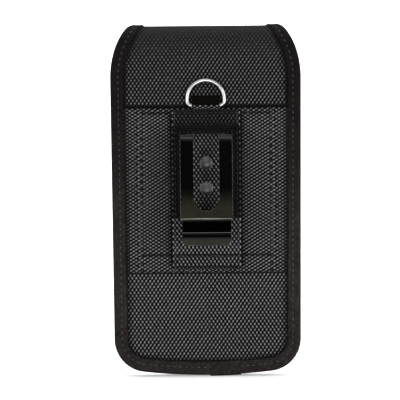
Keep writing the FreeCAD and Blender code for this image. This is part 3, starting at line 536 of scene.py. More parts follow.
class Route:
    """A bent line in the YZ plane, given by corners (y, z, radius of the bend there)."""

    def __init__(self, corners):
        self.spots = [Vector(corners[0][:2])]
        for before_it, corner, after_it in zip(corners, corners[1:], corners[2:]):
            self.round_off(Vector(before_it[:2]), Vector(corner[:2]), Vector(after_it[:2]), corner[2])
        self.spots.append(Vector(corners[-1][:2]))
        self.lengths = [0.0]
        sides = []
        for start, end in zip(self.spots, self.spots[1:]):
            self.lengths.append(self.lengths[-1] + (end - start).length)
            along = (end - start).normalized()
            sides.append(Vector((along.y, -along.x)))
        self.outs = [(one + other).normalized() for one, other in zip(sides[:1] + sides, sides + sides[-1:])]

    def round_off(self, start, corner, end, radius):
        back, on = (start - corner).normalized(), (end - corner).normalized()
        half = back.angle(on) / 2
        reach = radius / math.tan(half)
        centre = corner + (back + on).normalized() * (radius / math.sin(half))
        first, last = corner + back * reach - centre, corner + on * reach - centre
        steps = max(4, math.ceil(radius * first.angle(last) / 0.5))
        for share in spread(0.0, 1.0, steps):
            spot = centre + first.slerp(last, share).normalized() * radius
            if (spot - self.spots[-1]).length > 1e-4:
                self.spots.append(spot)

    def bends(self):
        """The starts and the ends of the short runs that make the bends."""
        most = 1.2
        short = [(start, end) for start, end in zip(self.lengths, self.lengths[1:]) if end - start < most]
        return [start for start, end in short], [end for start, end in short]

    def at(self, length):
        """The place and the outward direction at a length along the route."""
        number = 0
        while number < len(self.lengths) - 2 and self.lengths[number + 1] < length:
            number += 1
        share = (length - self.lengths[number]) / (self.lengths[number + 1] - self.lengths[number])
        spot = self.spots[number].lerp(self.spots[number + 1], share)
        return spot, self.outs[number].lerp(self.outs[number + 1], share).normalized()

    def length_at(self, level, after=0.0):
        """Where the route passes a height, past a given length."""
        for number, length in enumerate(self.lengths[1:], 1):
            low, high = sorted((self.spots[number - 1].y, self.spots[number].y))
            if length > after and low <= level <= high and high > low:
                return length - abs(self.spots[number].y - level)
        raise ValueError(f"the route doesn't pass {level}")

    def place(self, x, length, depth):
        spot, out = self.at(length)
        return Vector((x, spot.x - out.x * depth, spot.y - out.y * depth))


# Mesh work.

def cut_sheet(outlines, step, lines_x=(), lines_y=(), openings=()):
    """A flat sheet of one or more outlines side by side, divided into cells of about a step."""
    sheet = bmesh.new()
    for outline in outlines:
        sheet.faces.new([sheet.verts.new((x, y, 0)) for x, y in outline])
    bmesh.ops.remove_doubles(sheet, verts=sheet.verts[:], dist=1e-5)
    for axis, extra in ((0, lines_x), (1, lines_y)):
        low = min(spot[axis] for outline in outlines for spot in outline)
        high = max(spot[axis] for outline in outlines for spot in outline)
        count = max(1, round((high - low) / step))
        lines = spread(low, high, count)[1:-1]
        lines = [line for line in lines if all(abs(line - other) > step / 4 for other in extra)]
        lines += extra
        across = Vector((1, 0, 0)) if axis == 0 else Vector((0, 1, 0))
        for line in lines:
            whole = sheet.verts[:] + sheet.edges[:] + sheet.faces[:]
            bmesh.ops.bisect_plane(sheet, geom=whole, dist=1e-4, plane_co=across * line, plane_no=across)
    for left, right, low, high in openings:
        inside = [face for face in sheet.faces
                  if left < face.calc_center_median().x < right and low < face.calc_center_median().y < high]
        bmesh.ops.delete(sheet, geom=inside, context="FACES")
    sheet.verts.index_update()
    return sheet


class Shape:
    """Points in millimetres with faces, cloth coordinates and finishes, gathered for one mesh."""

    def __init__(self):
        self.points = []
        self.shades = {}
        self.faces = []
        self.cloth = []
        self.finish = []

    def face(self, corners, cloth, finish=0):
        self.faces.append(corners)
        self.cloth.append(cloth)
        self.finish.append(finish)

    def sheet(self, sheet, place, outer, inner, inner_finish=0, shade=None):
        """A flat sheet with its two faces at depths that depend on the place."""
        base, count = len(self.points), len(sheet.verts)
        flat = [vertex.co.to_2d() for vertex in sheet.verts]
        if shade:
            self.shades.update({base + number: shade(x, y) for number, (x, y) in enumerate(flat)})
        self.points += [place(x, y, outer(x, y)) for x, y in flat]
        self.points += [place(x, y, inner(x, y)) for x, y in flat]
        for face in sheet.faces:
            corners = [vertex.index for vertex in face.verts]
            cloth = [tuple(flat[n]) for n in corners]
            self.face([base + n for n in corners], cloth)
            self.face([base + count + n for n in reversed(corners)], cloth[::-1], inner_finish)
        for edge in sheet.edges:
            if edge.is_boundary:
                loop = edge.link_loops[0]
                first, last = loop.vert.index, loop.link_loop_next.vert.index
                start, end = flat[first], flat[last]
                along = (end - start).normalized()
                past = Vector((along.y, -along.x)) * abs(inner(*start) - outer(*start))
                rim = [base + last, base + first, base + count + first, base + count + last]
                self.face(rim, [tuple(spot) for spot in (end, start, start + past, end + past)])
        sheet.free()
        return base, count

    def loft(self, rings, places, closed=False):
        """Rings of points, with the length of each ring along the piece."""
        base, count = len(self.points), len(rings[0])
        for ring in rings:
            self.points += ring
        total = len(rings)
        girth = [0.0]
        for start, end in zip(rings[0], rings[0][1:] + rings[0][:1]):
            girth.append(girth[-1] + (Vector(end) - Vector(start)).length)
        for number in range(total if closed else total - 1):
            after = (number + 1) % total
            for side in range(count):
                nxt = (side + 1) % count
                corners = [base + number * count + side, base + after * count + side,
                           base + after * count + nxt, base + number * count + nxt]
                cloth = [(places[number], girth[side]), (places[number + 1], girth[side]),
                         (places[number + 1], girth[side + 1]), (places[number], girth[side + 1])]
                self.face(corners, cloth)
        if not closed:
            for number, order in ((0, 1), (total - 1, -1)):
                corners = [base + number * count + side for side in range(count)][::order]
                self.face(corners, [(places[number], girth[side]) for side in range(count)][::order])

    def sweep(self, edge, section, place):
        """A section of (inset, depth) points carried along samples of the bound edge."""
        rings, places = [], [0.0]
        for number, (spot, out) in enumerate(edge):
            ring = []
            for inset, depth in section(spot.y):
                flat = spot - out * inset
                ring.append(place(flat.x, flat.y, depth))
            rings.append(ring)
            if number:
                places.append(places[-1] + (spot - edge[number - 1][0]).length)
        self.loft(rings, places)

    def turned(self, profile, centre, count=48):
        """A turned piece whose axis points to -Y: (radius, height) from the middle out."""
        centre = Vector(centre)
        pole = len(self.points)
        self.points.append(centre - Vector((0, profile[0][1], 0)))
        first = len(self.points)
        for radius, height in profile[1:]:
            for turn in spread(0.0, 2 * math.pi, count)[:-1]:
                out = Vector((math.cos(turn), 0, math.sin(turn)))
                self.points.append(centre + out * radius - Vector((0, height, 0)))
        flat = (0.0, 0.0)
        for side in range(count):
            nxt = (side + 1) % count
            self.face([pole, first + side, first + nxt], [flat] * 3)
            for ring in range(len(profile) - 2):
                low, high = first + ring * count, first + (ring + 1) * count
                self.face([low + side, high + side, high + nxt, low + nxt], [flat] * 4)
        last = first + (len(profile) - 2) * count
        self.face([last + side for side in range(count)][::-1], [flat] * count)

    def make(self, name, *materials, sharp=50.0):
        """The finished object, in metres, smooth but for its sharp edges."""
        mesh = bpy.data.meshes.new(name)
        mesh.from_pydata([Vector(point) * MM for point in self.points], [], self.faces)
        layer = mesh.uv_layers.new(name="cloth")
        flat = [spot for corners in self.cloth for spot in corners]
        layer.data.foreach_set("uv", [number for spot in flat for number in spot])
        # painted shade for each point, read by the nylon finishes
        shade = mesh.attributes.new("shade", "FLOAT", "POINT")
        shade.data.foreach_set("value", [self.shades.get(number, 0.0) for number in range(len(self.points))])
        mesh.polygons.foreach_set("material_index", self.finish)
        for material in materials:
            mesh.materials.append(material)
        work = bmesh.new()
        work.from_mesh(mesh)
        bmesh.ops.recalc_face_normals(work, faces=work.faces[:])
        work.to_mesh(mesh)
        work.free()
        mesh.shade_smooth()
        mesh.set_sharp_from_angle(angle=math.radians(sharp))
        mesh.validate()
        return added(name, mesh)


def added(name, data):
    """A new object in the scene."""
    piece = bpy.data.objects.new(name, data)
    bpy.context.scene.collection.objects.link(piece)
    return piece


def settle(piece):
    """Turns a piece with its modifiers into a plain mesh."""
    view = bpy.context.evaluated_depsgraph_get()
    mesh = bpy.data.meshes.new_from_object(piece.evaluated_get(view))
    piece.modifiers.clear()
    old, piece.data = piece.data, mesh
    name = piece.name
    bpy.data.meshes.remove(old)
    mesh.name = name


def subdivide(piece, levels=1):
    """Smooths a piece and keeps its sharp edges where they are."""
    crease = piece.data.attributes.new("crease_edge", "FLOAT", "EDGE")
    crease.data.foreach_set("value", [float(edge.use_edge_sharp) for edge in piece.data.edges])
    smooth = piece.modifiers.new("smooth", "SUBSURF")
    smooth.levels = levels
    smooth.render_levels = levels
    settle(piece)


def inflate(piece, held, most):
    """Lets the padding press the free cloth out; no point moves further than the most."""
    frames = 20
    scene = bpy.context.scene
    group = piece.vertex_groups.new(name="held")
    group.add(held, 1.0, "REPLACE")
    cloth = piece.modifiers.new("padding", "CLOTH").settings
    cloth.quality = 4
    cloth.mass = 0.3
    cloth.tension_stiffness = 30
    cloth.compression_stiffness = 30
    cloth.use_pressure = True
    cloth.uniform_pressure_force = 4
    cloth.vertex_group_mass = "held"
    cloth.effector_weights.gravity = 0
    for number in range(1, frames + 1):
        scene.frame_set(number)
    view = bpy.context.evaluated_depsgraph_get()
    moved = [vertex.co.copy() for vertex in piece.evaluated_get(view).data.vertices]
    piece.modifiers.clear()
    piece.vertex_groups.clear()
    scene.frame_set(1)
    shifts = [end - vertex.co for end, vertex in zip(moved, piece.data.vertices)]
    largest = max(shift.length for shift in shifts)
    share = min(1.0, most * MM / largest) if largest else 0.0
    for vertex, shift in zip(piece.data.vertices, shifts):
        vertex.co += shift * share


# Repeated details.

class Repeat(Nodes):
    """A node tree for geometry with named inputs, run once on a piece."""

    def __init__(self, name, **inputs):
        super().__init__(bpy.data.node_groups.new(name, "GeometryNodeTree"))
        for side in ("INPUT", "OUTPUT"):
            self.tree.interface.new_socket("Geometry", in_out=side, socket_type="NodeSocketGeometry")
        self.names = {}
        for word, kind in inputs.items():
            socket = self.tree.interface.new_socket(word, in_out="INPUT", socket_type=f"NodeSocket{kind}")
            self.names[word] = socket.identifier
        self.group = self.tree.nodes.new("NodeGroupInput")

    def given(self, name):
        return Wire(self, self.group.outputs[name])

    def end(self, geometry):
        real = self.add("GeometryNodeRealizeInstances", None, {0: geometry})
        painted = self.add("GeometryNodeSetMaterial", None, {0: real, "Material": self.given("Material")})
        self.feed(self.tree.nodes.new("NodeGroupOutput").inputs[0], painted)

    def run(self, piece, **values):
        repeat = piece.modifiers.new("repeat", "NODES")
        repeat.node_group = self.tree
        for name, given in values.items():
            repeat[self.names[name]] = given
        settle(piece)
        piece.data.shade_smooth()


def stitch_tree():
    """Thread laid along seams: one grain of thread for each stitch."""
    repeat = Repeat("stitches", Pitch="Float", Length="Float", Thread="Float", Material="Material")
    seam = repeat.add("GeometryNodeMeshToCurve", None, {0: repeat.given("Geometry")})
    spaced = repeat.add("GeometryNodeResampleCurve", {"mode": "LENGTH"},
                        {"Curve": seam, "Length": repeat.given("Pitch")})
    grain = repeat.add("GeometryNodeMeshUVSphere", None, {"Segments": 6, "Rings": 5, "Radius": 0.5})
    thread = repeat.given("Thread")
    size = repeat.add("ShaderNodeCombineXYZ", None, {"X": thread, "Y": thread, "Z": repeat.given("Length")})
    grain = repeat.add("GeometryNodeTransform", None, {"Geometry": grain, "Scale": size})
    along = repeat.add("GeometryNodeInputTangent")
    turn = repeat.add("FunctionNodeAlignRotationToVector", {"axis": "Z"}, {"Vector": along})
    laid = repeat.add("GeometryNodeInstanceOnPoints", None,
                      {"Points": spaced, "Instance": grain, "Rotation": turn})
    repeat.end(laid)
    return repeat


def loop_tree():
    """Small thread loops standing on a patch, each turned at random."""
    repeat = Repeat("fastener", Radius="Float", Thread="Float", Lean="Float", Seed="Int",
                    Material="Material")
    arch = repeat.add("GeometryNodeCurveArc", {"mode": "RADIUS"},
                      {"Resolution": 6, "Radius": repeat.given("Radius"), "Sweep Angle": math.pi * 1.25})
    wire = repeat.add("GeometryNodeCurvePrimitiveCircle", {"mode": "RADIUS"},
                      {"Resolution": 4, "Radius": repeat.given("Thread")})
    hook = repeat.add("GeometryNodeCurveToMesh", None,
                      {"Curve": arch, "Profile Curve": wire, "Fill Caps": True})
    spin = repeat.add("FunctionNodeRandomValue", {"data_type": "FLOAT"},
                      {"Min": -math.pi, "Max": math.pi, "Seed": repeat.given("Seed")}, output=1)
    tilt = repeat.add("ShaderNodeMath", {"operation": "MULTIPLY"}, {0: spin, 1: repeat.given("Lean")})
    turn = repeat.add("ShaderNodeCombineXYZ", None, {"Y": tilt})
    laid = repeat.add("GeometryNodeInstanceOnPoints", None,
                      {"Points": repeat.given("Geometry"), "Instance": hook, "Rotation": turn})
    repeat.end(laid)
    return repeat


def bare_mesh(name, points, edges=()):
    mesh = bpy.data.meshes.new(name)
    mesh.from_pydata([Vector(point) * MM for point in points], edges, [])
    return added(name, mesh)


def sew(name, seams, stitch, finish):
    """Stitches along several seams, each a list of points."""
    pitch, length, size = (measure * MM for measure in stitch)
    points, edges = [], []
    for seam in seams:
        start = len(points)
        points += seam
        edges += [(number, number + 1) for number in range(start, len(points) - 1)]
    piece = bare_mesh(name, points, edges)
    STITCHES.run(piece, Pitch=pitch, Length=length, Thread=size, Material=finish)
    return piece


# Pieces.

def hinge_rear(piece):
    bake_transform(piece)


def hinge_front(piece):
    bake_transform(piece)


def on_pouch(piece):
    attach(piece, "pouch")


def dress(piece, slot, body, *nodes):
    """Hides the nodes that a piece stands for and hangs it on the body that carries it; the slot, its
    finish, is not used.
    """
    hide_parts(*nodes)
    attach(piece, body)


def outline_of(edge, inset):
    return [tuple(place - out * inset) for place, out in edge]


def padded_panel(name, nodes, carry, edge, place, free, most, shade, lines=()):
    """A padded panel: nylon outside, lining inside, pressed out where it is free."""
    shape = Shape()
    sheet = cut_sheet([outline_of(edge, TAPE)], CLOTH_STEP, lines_y=lines)
    rim = {vertex.index for vertex in sheet.verts if vertex.is_boundary}
    flat = [vertex.co.to_2d() for vertex in sheet.verts]
    held = [number for number, (x, y) in enumerate(flat) if number in rim or not free(x, y)]
    base, count = shape.sheet(sheet, place, lambda x, y: 0.0, lambda x, y: DEEP, 1, shade)
    piece = shape.make(name, NYLON, LINING)
    inflate(piece, held + list(range(count, 2 * count)), most)
    subdivide(piece)
    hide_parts(*nodes)
    carry(piece)


def shadow_by_tape(x, y):
    """Painted shadow beside the inner edge of the binding."""
    return 0.95 * fade(from_edge(x, y) - TAPE_WIDTH + 0.3, 2.5)


def make_panels():
    """The back with the flap's top, the flap's front and the front panel."""
    patch = span("loop_patch")
    patch_low, patch_high = (corner.z - FOLD_LINE for corner in patch)
    patch_half = patch[1].x

    def rear_free(x, y):
        return (y < PANEL_LOW - 1 or PANEL_HIGH + 2 < y < -2) and from_edge(x, y) > TAPE_WIDTH

    def rear_painted_shade(x, y):
        # painted shadows along the top and the bottom edge of the sewn-on sheet
        under = fade(abs(y - PANEL_HIGH - 0.2), 1.3)
        below = 0.6 * fade(abs(y - PANEL_LOW + 0.2), 1.1)
        return max(shadow_by_tape(x, y), under, below)

    def front_free(x, y):
        beside = abs(x) > patch_half + 1 or not patch_low - 1 < y < patch_high + 1
        return y < MOUTH - TAPE_WIDTH and beside and from_edge(x, y) > TAPE_WIDTH

    def flap_free(x, y):
        return FLAP_LINE - 6 < y and from_edge(x, y) > TAPE_WIDTH

    lines = [PANEL_LOW + shift for shift in (-1.2, -0.6, 0.0)]
    lines += [PANEL_HIGH + shift for shift in (0.0, 0.5, 1.1)]
    layers = ("shell", "foam", "lining")
    back, flap_top, flap, front = [[f"{panel}_{layer}" for layer in layers]
                                   for panel in ("back", "flap_top", "flap", "front")]
    padded_panel("back_panel", back + flap_top, hinge_rear, REAR_EDGE, over, rear_free, 0.9, rear_painted_shade,
                 lines)
    padded_panel("flap_panel", flap, hinge_front, FLAP_EDGE, over, flap_free, 1.2, shadow_by_tape)
    padded_panel("front_panel", front, on_pouch, FRONT_EDGE, before, front_free, 1.0, shadow_by_tape)


def doubled(outside, deep):
    """A section's points and their mirror images on the other face of a panel."""
    return outside + [(inset, deep - depth) for inset, depth in reversed(outside)]


def tape_section(deep):
    """The folded tape as (inset, depth), with a shallow groove where it is sewn."""
    dip = [(STITCH_INSET + 1.0, 0.0), (STITCH_INSET + 0.4, TAPE_GROOVE / 2), (STITCH_INSET, TAPE_GROOVE),
           (STITCH_INSET - 0.4, TAPE_GROOVE / 2), (STITCH_INSET - 1.0, 0.0)]
    outside = [(TAPE_WIDTH, -0.02), (TAPE_WIDTH, -0.32), (TAPE_WIDTH - 0.25, -TAPE + 0.1),
               (TAPE_WIDTH - 0.8, -TAPE)]
    outside += [(inset, depth - TAPE) for inset, depth in dip]
    outside += [(1.7, -TAPE), (0.9, -TAPE * 0.75), (0.35, -TAPE * 0.3), (0.06, 0.35), (0.0, 1.2)]
    return doubled(outside, deep) + [(TAPE, deep), (TAPE, 0.0)]


def make_tapes():
    """The folded tape round the back, the flap, the front and the pocket's mouth."""
    def rear_section(station):
        below = min(1.0, max(0.0, (MOUTH + 1.0 - station) / 2.0))
        return tape_section(DEEP + GUSSET * below)

    def narrow(station):
        return tape_section(DEEP)

    def wide(station):
        return tape_section(DEEP + GUSSET)

    lapped = [(place, out) for place, out in REAR_EDGE
              if TAPE_LAP[0] < place.x < TAPE_LAP[1] and place.y < -FOLD_LINE]
    reach = edge_x(MOUTH, TAPE_WIDTH) - 0.1
    across = [(Vector((x, MOUTH + TAPE)), Vector((0, 1)))
              for x in spread(reach, -reach, round(2 * reach / EDGE_STEP))]
    rows = [("back_tape", REAR_EDGE, rear_section, over, hinge_rear,
             ("back_binding", "flap_top_binding_left", "flap_top_binding_right")),
            ("flap_tape", FLAP_EDGE, narrow, over, hinge_front, ("flap_binding",)),
            ("front_tape", FRONT_EDGE, wide, before, on_pouch, ("front_binding",)),
            ("mouth_tape", across, narrow, before, on_pouch, ("mouth_binding",))]
    for name, edge, section, place, carry, nodes in rows:
        shape = Shape()
        shape.sweep(edge, section, place)
        if name == "back_tape":
            shape.sweep(lapped, lambda station: lap_section(DEEP + GUSSET), over)
        piece = shape.make(name, BINDING)
        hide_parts(*nodes)
        carry(piece)


def lap_section(deep):
    """The tape's end, lapped over its beginning."""
    thick = 0.45
    outside = [(TAPE_WIDTH + 0.2, -TAPE + 0.2), (TAPE_WIDTH + 0.1, -TAPE - thick), (1.0, -TAPE - thick),
               (0.1, -TAPE * 0.6 - thick), (-thick, 0.6)]
    hollow = [(1.2, deep + TAPE * 0.5), (0.3, deep), (0.3, 0.0), (1.2, -TAPE * 0.5)]
    return doubled(outside, deep) + hollow


def seam_along(edge, inset, depth, place):
    return [place(*(spot - out * inset), depth) for spot, out in edge]


def make_gusset():
    """Elastic all round the pocket, puckered a little between the two bindings."""
    near, far = DEEP, span("front_lining")[0].y - BACK
    middle, reach = (near + far) / 2, 3.5
    tucked, bend = TAPE + 0.05, 0.9

    def layer(inset, depth, ripple):
        """One face of the elastic, from the back's binding to the front's."""
        wall = GUSSET_INSET + inset
        bent = [(tucked, near + depth), (wall - bend, near + depth),
                (wall - bend * 0.3, near + bend * 0.3 + depth), (wall, near + bend + depth)]
        halfway = [(wall + ripple * share, middle + reach * side)
                   for share, side in ((0.6, -1), (1.0, 0), (0.6, 1))]
        return bent + halfway + [(place, near + far - deep) for place, deep in reversed(bent)]

    def section(ripple):
        return layer(0.0, GUSSET, ripple) + layer(GUSSET, 0.0, ripple)[::-1]

    rings, places = [], [0.0]
    for number, (spot, out) in enumerate(FRONT_EDGE):
        ripple = 0.35 * noise.noise(Vector((number * 0.55, 3.1, 0))) + 0.15
        rings.append([over(*(spot - out * inset), depth) for inset, depth in section(ripple)])
        if number:
            places.append(places[-1] + (spot - FRONT_EDGE[number - 1][0]).length)
    shape = Shape()
    shape.loft(rings, places)
    piece = shape.make("gusset", ELASTIC)
    dress(piece, "elastic", "pouch", "side_gusset")


def rounded_edge(distance, radius):
    """0 at an edge, 1 from a radius in, along a quarter circle."""
    share = min(1.0, max(0.0, distance / radius))
    return math.sqrt(1 - (1 - share) ** 2)


def make_reinforcement():
    """The fabric sewn over the back, with turned edges, two double seams and the ring's cover."""
    low, high = PANEL_LOW, PANEL_HIGH
    tuck = TAPE_WIDTH - 0.6
    right = [(edge_x(level, tuck), level) for level in spread(low, high, 40)]
    outline = right + [(-x, level) for x, level in reversed(right)]
    seams = [side * PANEL_SEAM + half * SEAM_GAP / 2 for side in (-1, 1) for half in (-1, 1)]
    seam_lines = [seam + shift for seam in seams for shift in (-0.5, 0.0, 0.5)]
    seam_lines += [side * (STRAP_HALF + shift) for side in (-1, 1) for shift in (0.0, 0.8, 1.8)]
    edges_y = [end + side * shift for end, side in ((low, 1), (high, -1)) for shift in (0.25, 0.7, 1.2)]
    row_levels = [row[0] - FOLD_LINE for row in STRAP_ROWS]
    edges_y += [level + shift for level in row_levels for shift in (-0.8, 0.0, 0.8)]

    def outer(x, y):
        edge = min(rounded_edge(y - low, 1.0), rounded_edge(high - y, 1.0))
        side = edge_x(y, TAPE_WIDTH) - abs(x)
        tucked = 0.55 + 0.45 * rounded_edge(side - 0.2, 2.5)
        dent = max(fade(abs(x - seam), 0.5) for seam in seams)
        return -(0.12 + (PANEL_SHEET - 0.12) * edge * tucked) + 0.22 * dent * edge

    def shade(x, y):
        # painted shade beside the strap, along the top edge and along the stitch rows, the rows partly dark
        # needle holes; paler along the double seams
        strap = 0.75 * fade(abs(x) - STRAP_HALF, 2.4) if low + 2 < y < high - 1.5 else 0.0
        hem_shadow = fade(high - y, 1.3)
        row = min(abs(y - level) for level in row_levels)
        sewn = 0.8 * fade(row, 0.9) if STRAP_HALF < abs(x) < PANEL_SEAM - 1 else 0.0
        seam = -0.9 * fade(abs(abs(x) - PANEL_SEAM), 0.9)
        return max(shadow_by_tape(x, y), strap, hem_shadow, sewn) or seam

    shape = Shape()
    shape.sheet(cut_sheet([outline], 2.0, seam_lines, edges_y), over, outer, lambda x, y: -0.02, shade=shade)
    cover_half = span("ring_tab")[1].x + 0.2
    wire = 0.85
    bar = Vector((span("d_ring")[0].y + wire, span("d_ring")[0].z + wire))
    inner_round = bar.x - span("ring_tab")[0].y
    outer_round = inner_round + PANEL_SHEET
    outside, inside = [[(bar.x - radius * math.cos(turn), bar.y + radius * math.sin(turn))
                        for turn in spread(math.radians(-50), 0.0, 5)]
                       for radius in (outer_round, inner_round)]
    foot = [(BACK - PANEL_SHEET, PANEL_TOP - drop) for drop in (0.6, 1.35)]
    rings, places = [], []
    for share in (-1.0, -0.985, -0.95, -0.8, -0.4, 0.0, 0.4, 0.8, 0.95, 0.985, 1.0):
        pinch = 0.35 * (1 - rounded_edge(1 - abs(share), 0.05))
        ring = [(y + pinch, z) for y, z in outside]
        ring += [(y - pinch / 2, z) for y, z in reversed(inside)] + foot
        rings.append([(share * cover_half, y, z) for y, z in ring])
        places.append(share * cover_half)
    shape.loft(rings, places)
    piece = shape.make("reinforcement", NYLON_TURNED)
    dress(piece, "ballistic_nylon", "pouch", "reinforcement_panel")


def strap_route(sewn, raised, over_top):
    """The outer face of one of the strap's layers, from its upper end down."""
    drop = 0.12 * (sewn - raised)
    return Route([(sewn, span("belt_strap_outer")[1].z, 0), (sewn, over_top, 1.0), (raised, over_top, 1.8),
                  (raised, CHANNEL_BOTTOM - drop, 5.0), (sewn, SLOPE_END - drop, 5.0),
                  (sewn, span("belt_strap_outer")[0].z, 0)])


def make_strap():
    """Both layers of the strap, the outer one with its two slits for the clip."""
    outer_low = span("belt_strap_outer")[0].y
    sewn_outer = BACK - PANEL_SHEET - 2 * STRAP_LAYER
    under_top = CHANNEL_TOP + STRAP_LAYER
    clip_half = span("belt_clip")[1].x
    slit_bottom, slit_top = 15.35, 19.6
    row_levels = [level for rows in STRAP_ROWS for level in rows]
    inner_low = outer_low + STRAP_LAYER + CLIP_SHEET
    layers = [("strap_inner", strap_route(sewn_outer + STRAP_LAYER, inner_low, under_top), ()),
              ("strap_outer", strap_route(sewn_outer, outer_low, under_top + STRAP_LAYER), (5.9, 13.0))]
    for name, route, slit in layers:
        length = route.lengths[-1]
        outline = [(-STRAP_HALF, 0), (STRAP_HALF, 0), (STRAP_HALF, length), (-STRAP_HALF, length)]
        edges_x = [side * (STRAP_HALF - inset) for side in (-1, 1) for inset in (0.12, 0.4, 0.9, 1.45, 1.9)]
        edges_y = [0.12, 0.4, 0.9, length - 0.9, length - 0.4, length - 0.12]
        bends = route.bends()[0]
        for level in row_levels:
            sewn_at = route.length_at(level, 0.0 if level > 0 else route.length_at(0.0))
            bends += [sewn_at - 0.8, sewn_at, sewn_at + 0.8]
        openings = []
        if slit:
            plateau = route.length_at(0.0)
            first = plateau - slit_top
            last = plateau - slit_bottom
            openings = [(slit[0], slit[1], first, last), (-slit[1], -slit[0], first, last)]
            edges_x += [-slit[1], -slit[0], *slit]
            edges_y += [first, last]

        def rounding(x, y):
            edge = min(rounded_edge(STRAP_HALF - abs(x), 0.4), rounded_edge(min(y, length - y), 0.4))
            return STRAP_LAYER / 2 * (1 - edge)

        def outer(x, y):
            sewn_in = max(0.0, 1 - abs(STRAP_SEAM - abs(x)) / 0.5)
            return rounding(x, y) + 0.1 * sewn_in

        def inner(x, y):
            return STRAP_LAYER - rounding(x, y) - 0.02

        def shade(x, y):
            # painted shade at the top bend, over the sewn top, beside the clip, behind its slot and along
            # the stitch rows, the rows partly dark needle holes; paler along the turned edges
            height = route.at(y)[0].y
            side = abs(x) - clip_half
            bend = 0.9 * fade(abs(height - 22.0), 3.8)
            end = 0.45 if height > 22 else 0.0
            beside = 0.9 * (1 - fade(side, 1.0)) if side > 0 and -22 < height < 22 else 0.0
            pale = -0.6 * fade(STRAP_HALF - abs(x), 0.9)
            # painted light on the ramp below the clip's lip
            below = -0.35 * fade(abs(height + 36.5), 3.0)
            inside = 0.25 * fade(abs(x), 5.5) if -19 < height < 12 else 0.0
            row = min(abs(height - level) for level in row_levels)
            sewn = 0.75 * fade(row, 0.9) if abs(x) < STRAP_HALF - 1 else 0.0
            return pale + max(bend, end, beside, inside, sewn) + below

        sheet = cut_sheet([outline], 1.6, edges_x, edges_y + bends, openings)
        shape = Shape()
        shape.sheet(sheet, route.place, outer, inner, shade=shade)
        piece = shape.make(name, STRAP)
        dress(piece, "ballistic_nylon", "pouch", f"belt_{name}")
    return layers[1][1]


def make_ring_tab():
    """The ribbon loop, a flat oval band with ribs."""
    low, high = span("ring_tab")
    half, middle = high.x, (low.y + high.y) / 2
    outer = (high.y - low.y) / 2
    thick = 0.6
    start, end = low.z + outer, high.z - outer
    spots = [(centre, turn) for centre, first in ((end, 0.0), (start, math.pi))
             for turn in spread(first, first + math.pi, 12)]
    section = ((-half, thick / 2), (-half + 0.2, 0.0), (half - 0.2, 0.0), (half, thick / 2),
               (half - 0.2, thick), (-half + 0.2, thick))
    rings, places, run = [], [0.0], 0.0
    for number, (centre, turn) in enumerate(spots):
        out = Vector((0, math.cos(turn), math.sin(turn)))
        core = Vector((0, middle, centre))
        rings.append([core + out * (outer - depth) + Vector((x, 0, 0)) for x, depth in section])
        if number:
            run += (rings[-1][1] - rings[-2][1]).length
            places.append(run)
    places.append(run + end - start)
    shape = Shape()
    shape.loft(rings, places, closed=True)
    piece = shape.make("ring_loop", RIBBON, sharp=70.0)
    dress(piece, "ribbon", "pouch", "ring_tab")


def make_ring():
    """The wire ring: bar, two small corners and a round bow."""
    low, high = span("d_ring")
    radius = (high.y - low.y) / 2
    bow = high.x - radius
    corner = 2.2
    bar, top = low.z + radius, high.z - radius
    arcs = [((bow - corner, bar + corner), corner, -90, 0, 10), ((0, top - bow), bow, 0, 180, 60),
            ((corner - bow, bar + corner), corner, 180, 270, 10)]
    rings, places = [], [0.0]
    for (x, z), reach, first, last, steps in arcs:
        for turn in spread(math.radians(first), math.radians(last), steps):
            out = Vector((math.cos(turn), 0, math.sin(turn)))
            centre = Vector((x, (low.y + high.y) / 2, z)) + out * reach
            rings.append([centre + (Vector((0, math.sin(angle), 0)) + out * math.cos(angle)) * radius
                          for angle in spread(0.0, 2 * math.pi, 24)[:-1]])
            places.append(places[-1] + 1.0)
    shape = Shape()
    shape.loft(rings, places, closed=True)
    piece = shape.make("ring", NICKEL, sharp=80.0)
    dress(piece, "ring_nickel", "d_ring", "d_ring")


def make_rivets():
    """Domed heads with a thin rim, their shanks and their flat tails."""
    for name in ("rivet_upper", "rivet_lower"):
        low, high = span(name)
        head = high.x
        face = span("belt_strap_outer")[0].y
        dome = face - low.y
        sphere = (head ** 2 + dome ** 2) / (2 * dome)
        profile = [(radius, math.sqrt(sphere ** 2 - radius ** 2) - sphere + dome)
                   for radius in spread(0.0, head * 0.97, 12)]
        tail, shank, flat = face - high.y, 1.5, 2.7
        profile += [(head, 0.16), (head, 0.02), (shank, 0.0), (shank, tail + 0.5), (flat, tail + 0.48),
                    (flat, tail + 0.08), (flat - 0.2, tail)]
        shape = Shape()
        shape.turned(profile, (0, face, (low.z + high.z) / 2))
        piece = shape.make(f"{name}_dome", GUNMETAL, sharp=60.0)
        dress(piece, "rivet_steel", "pouch", name)


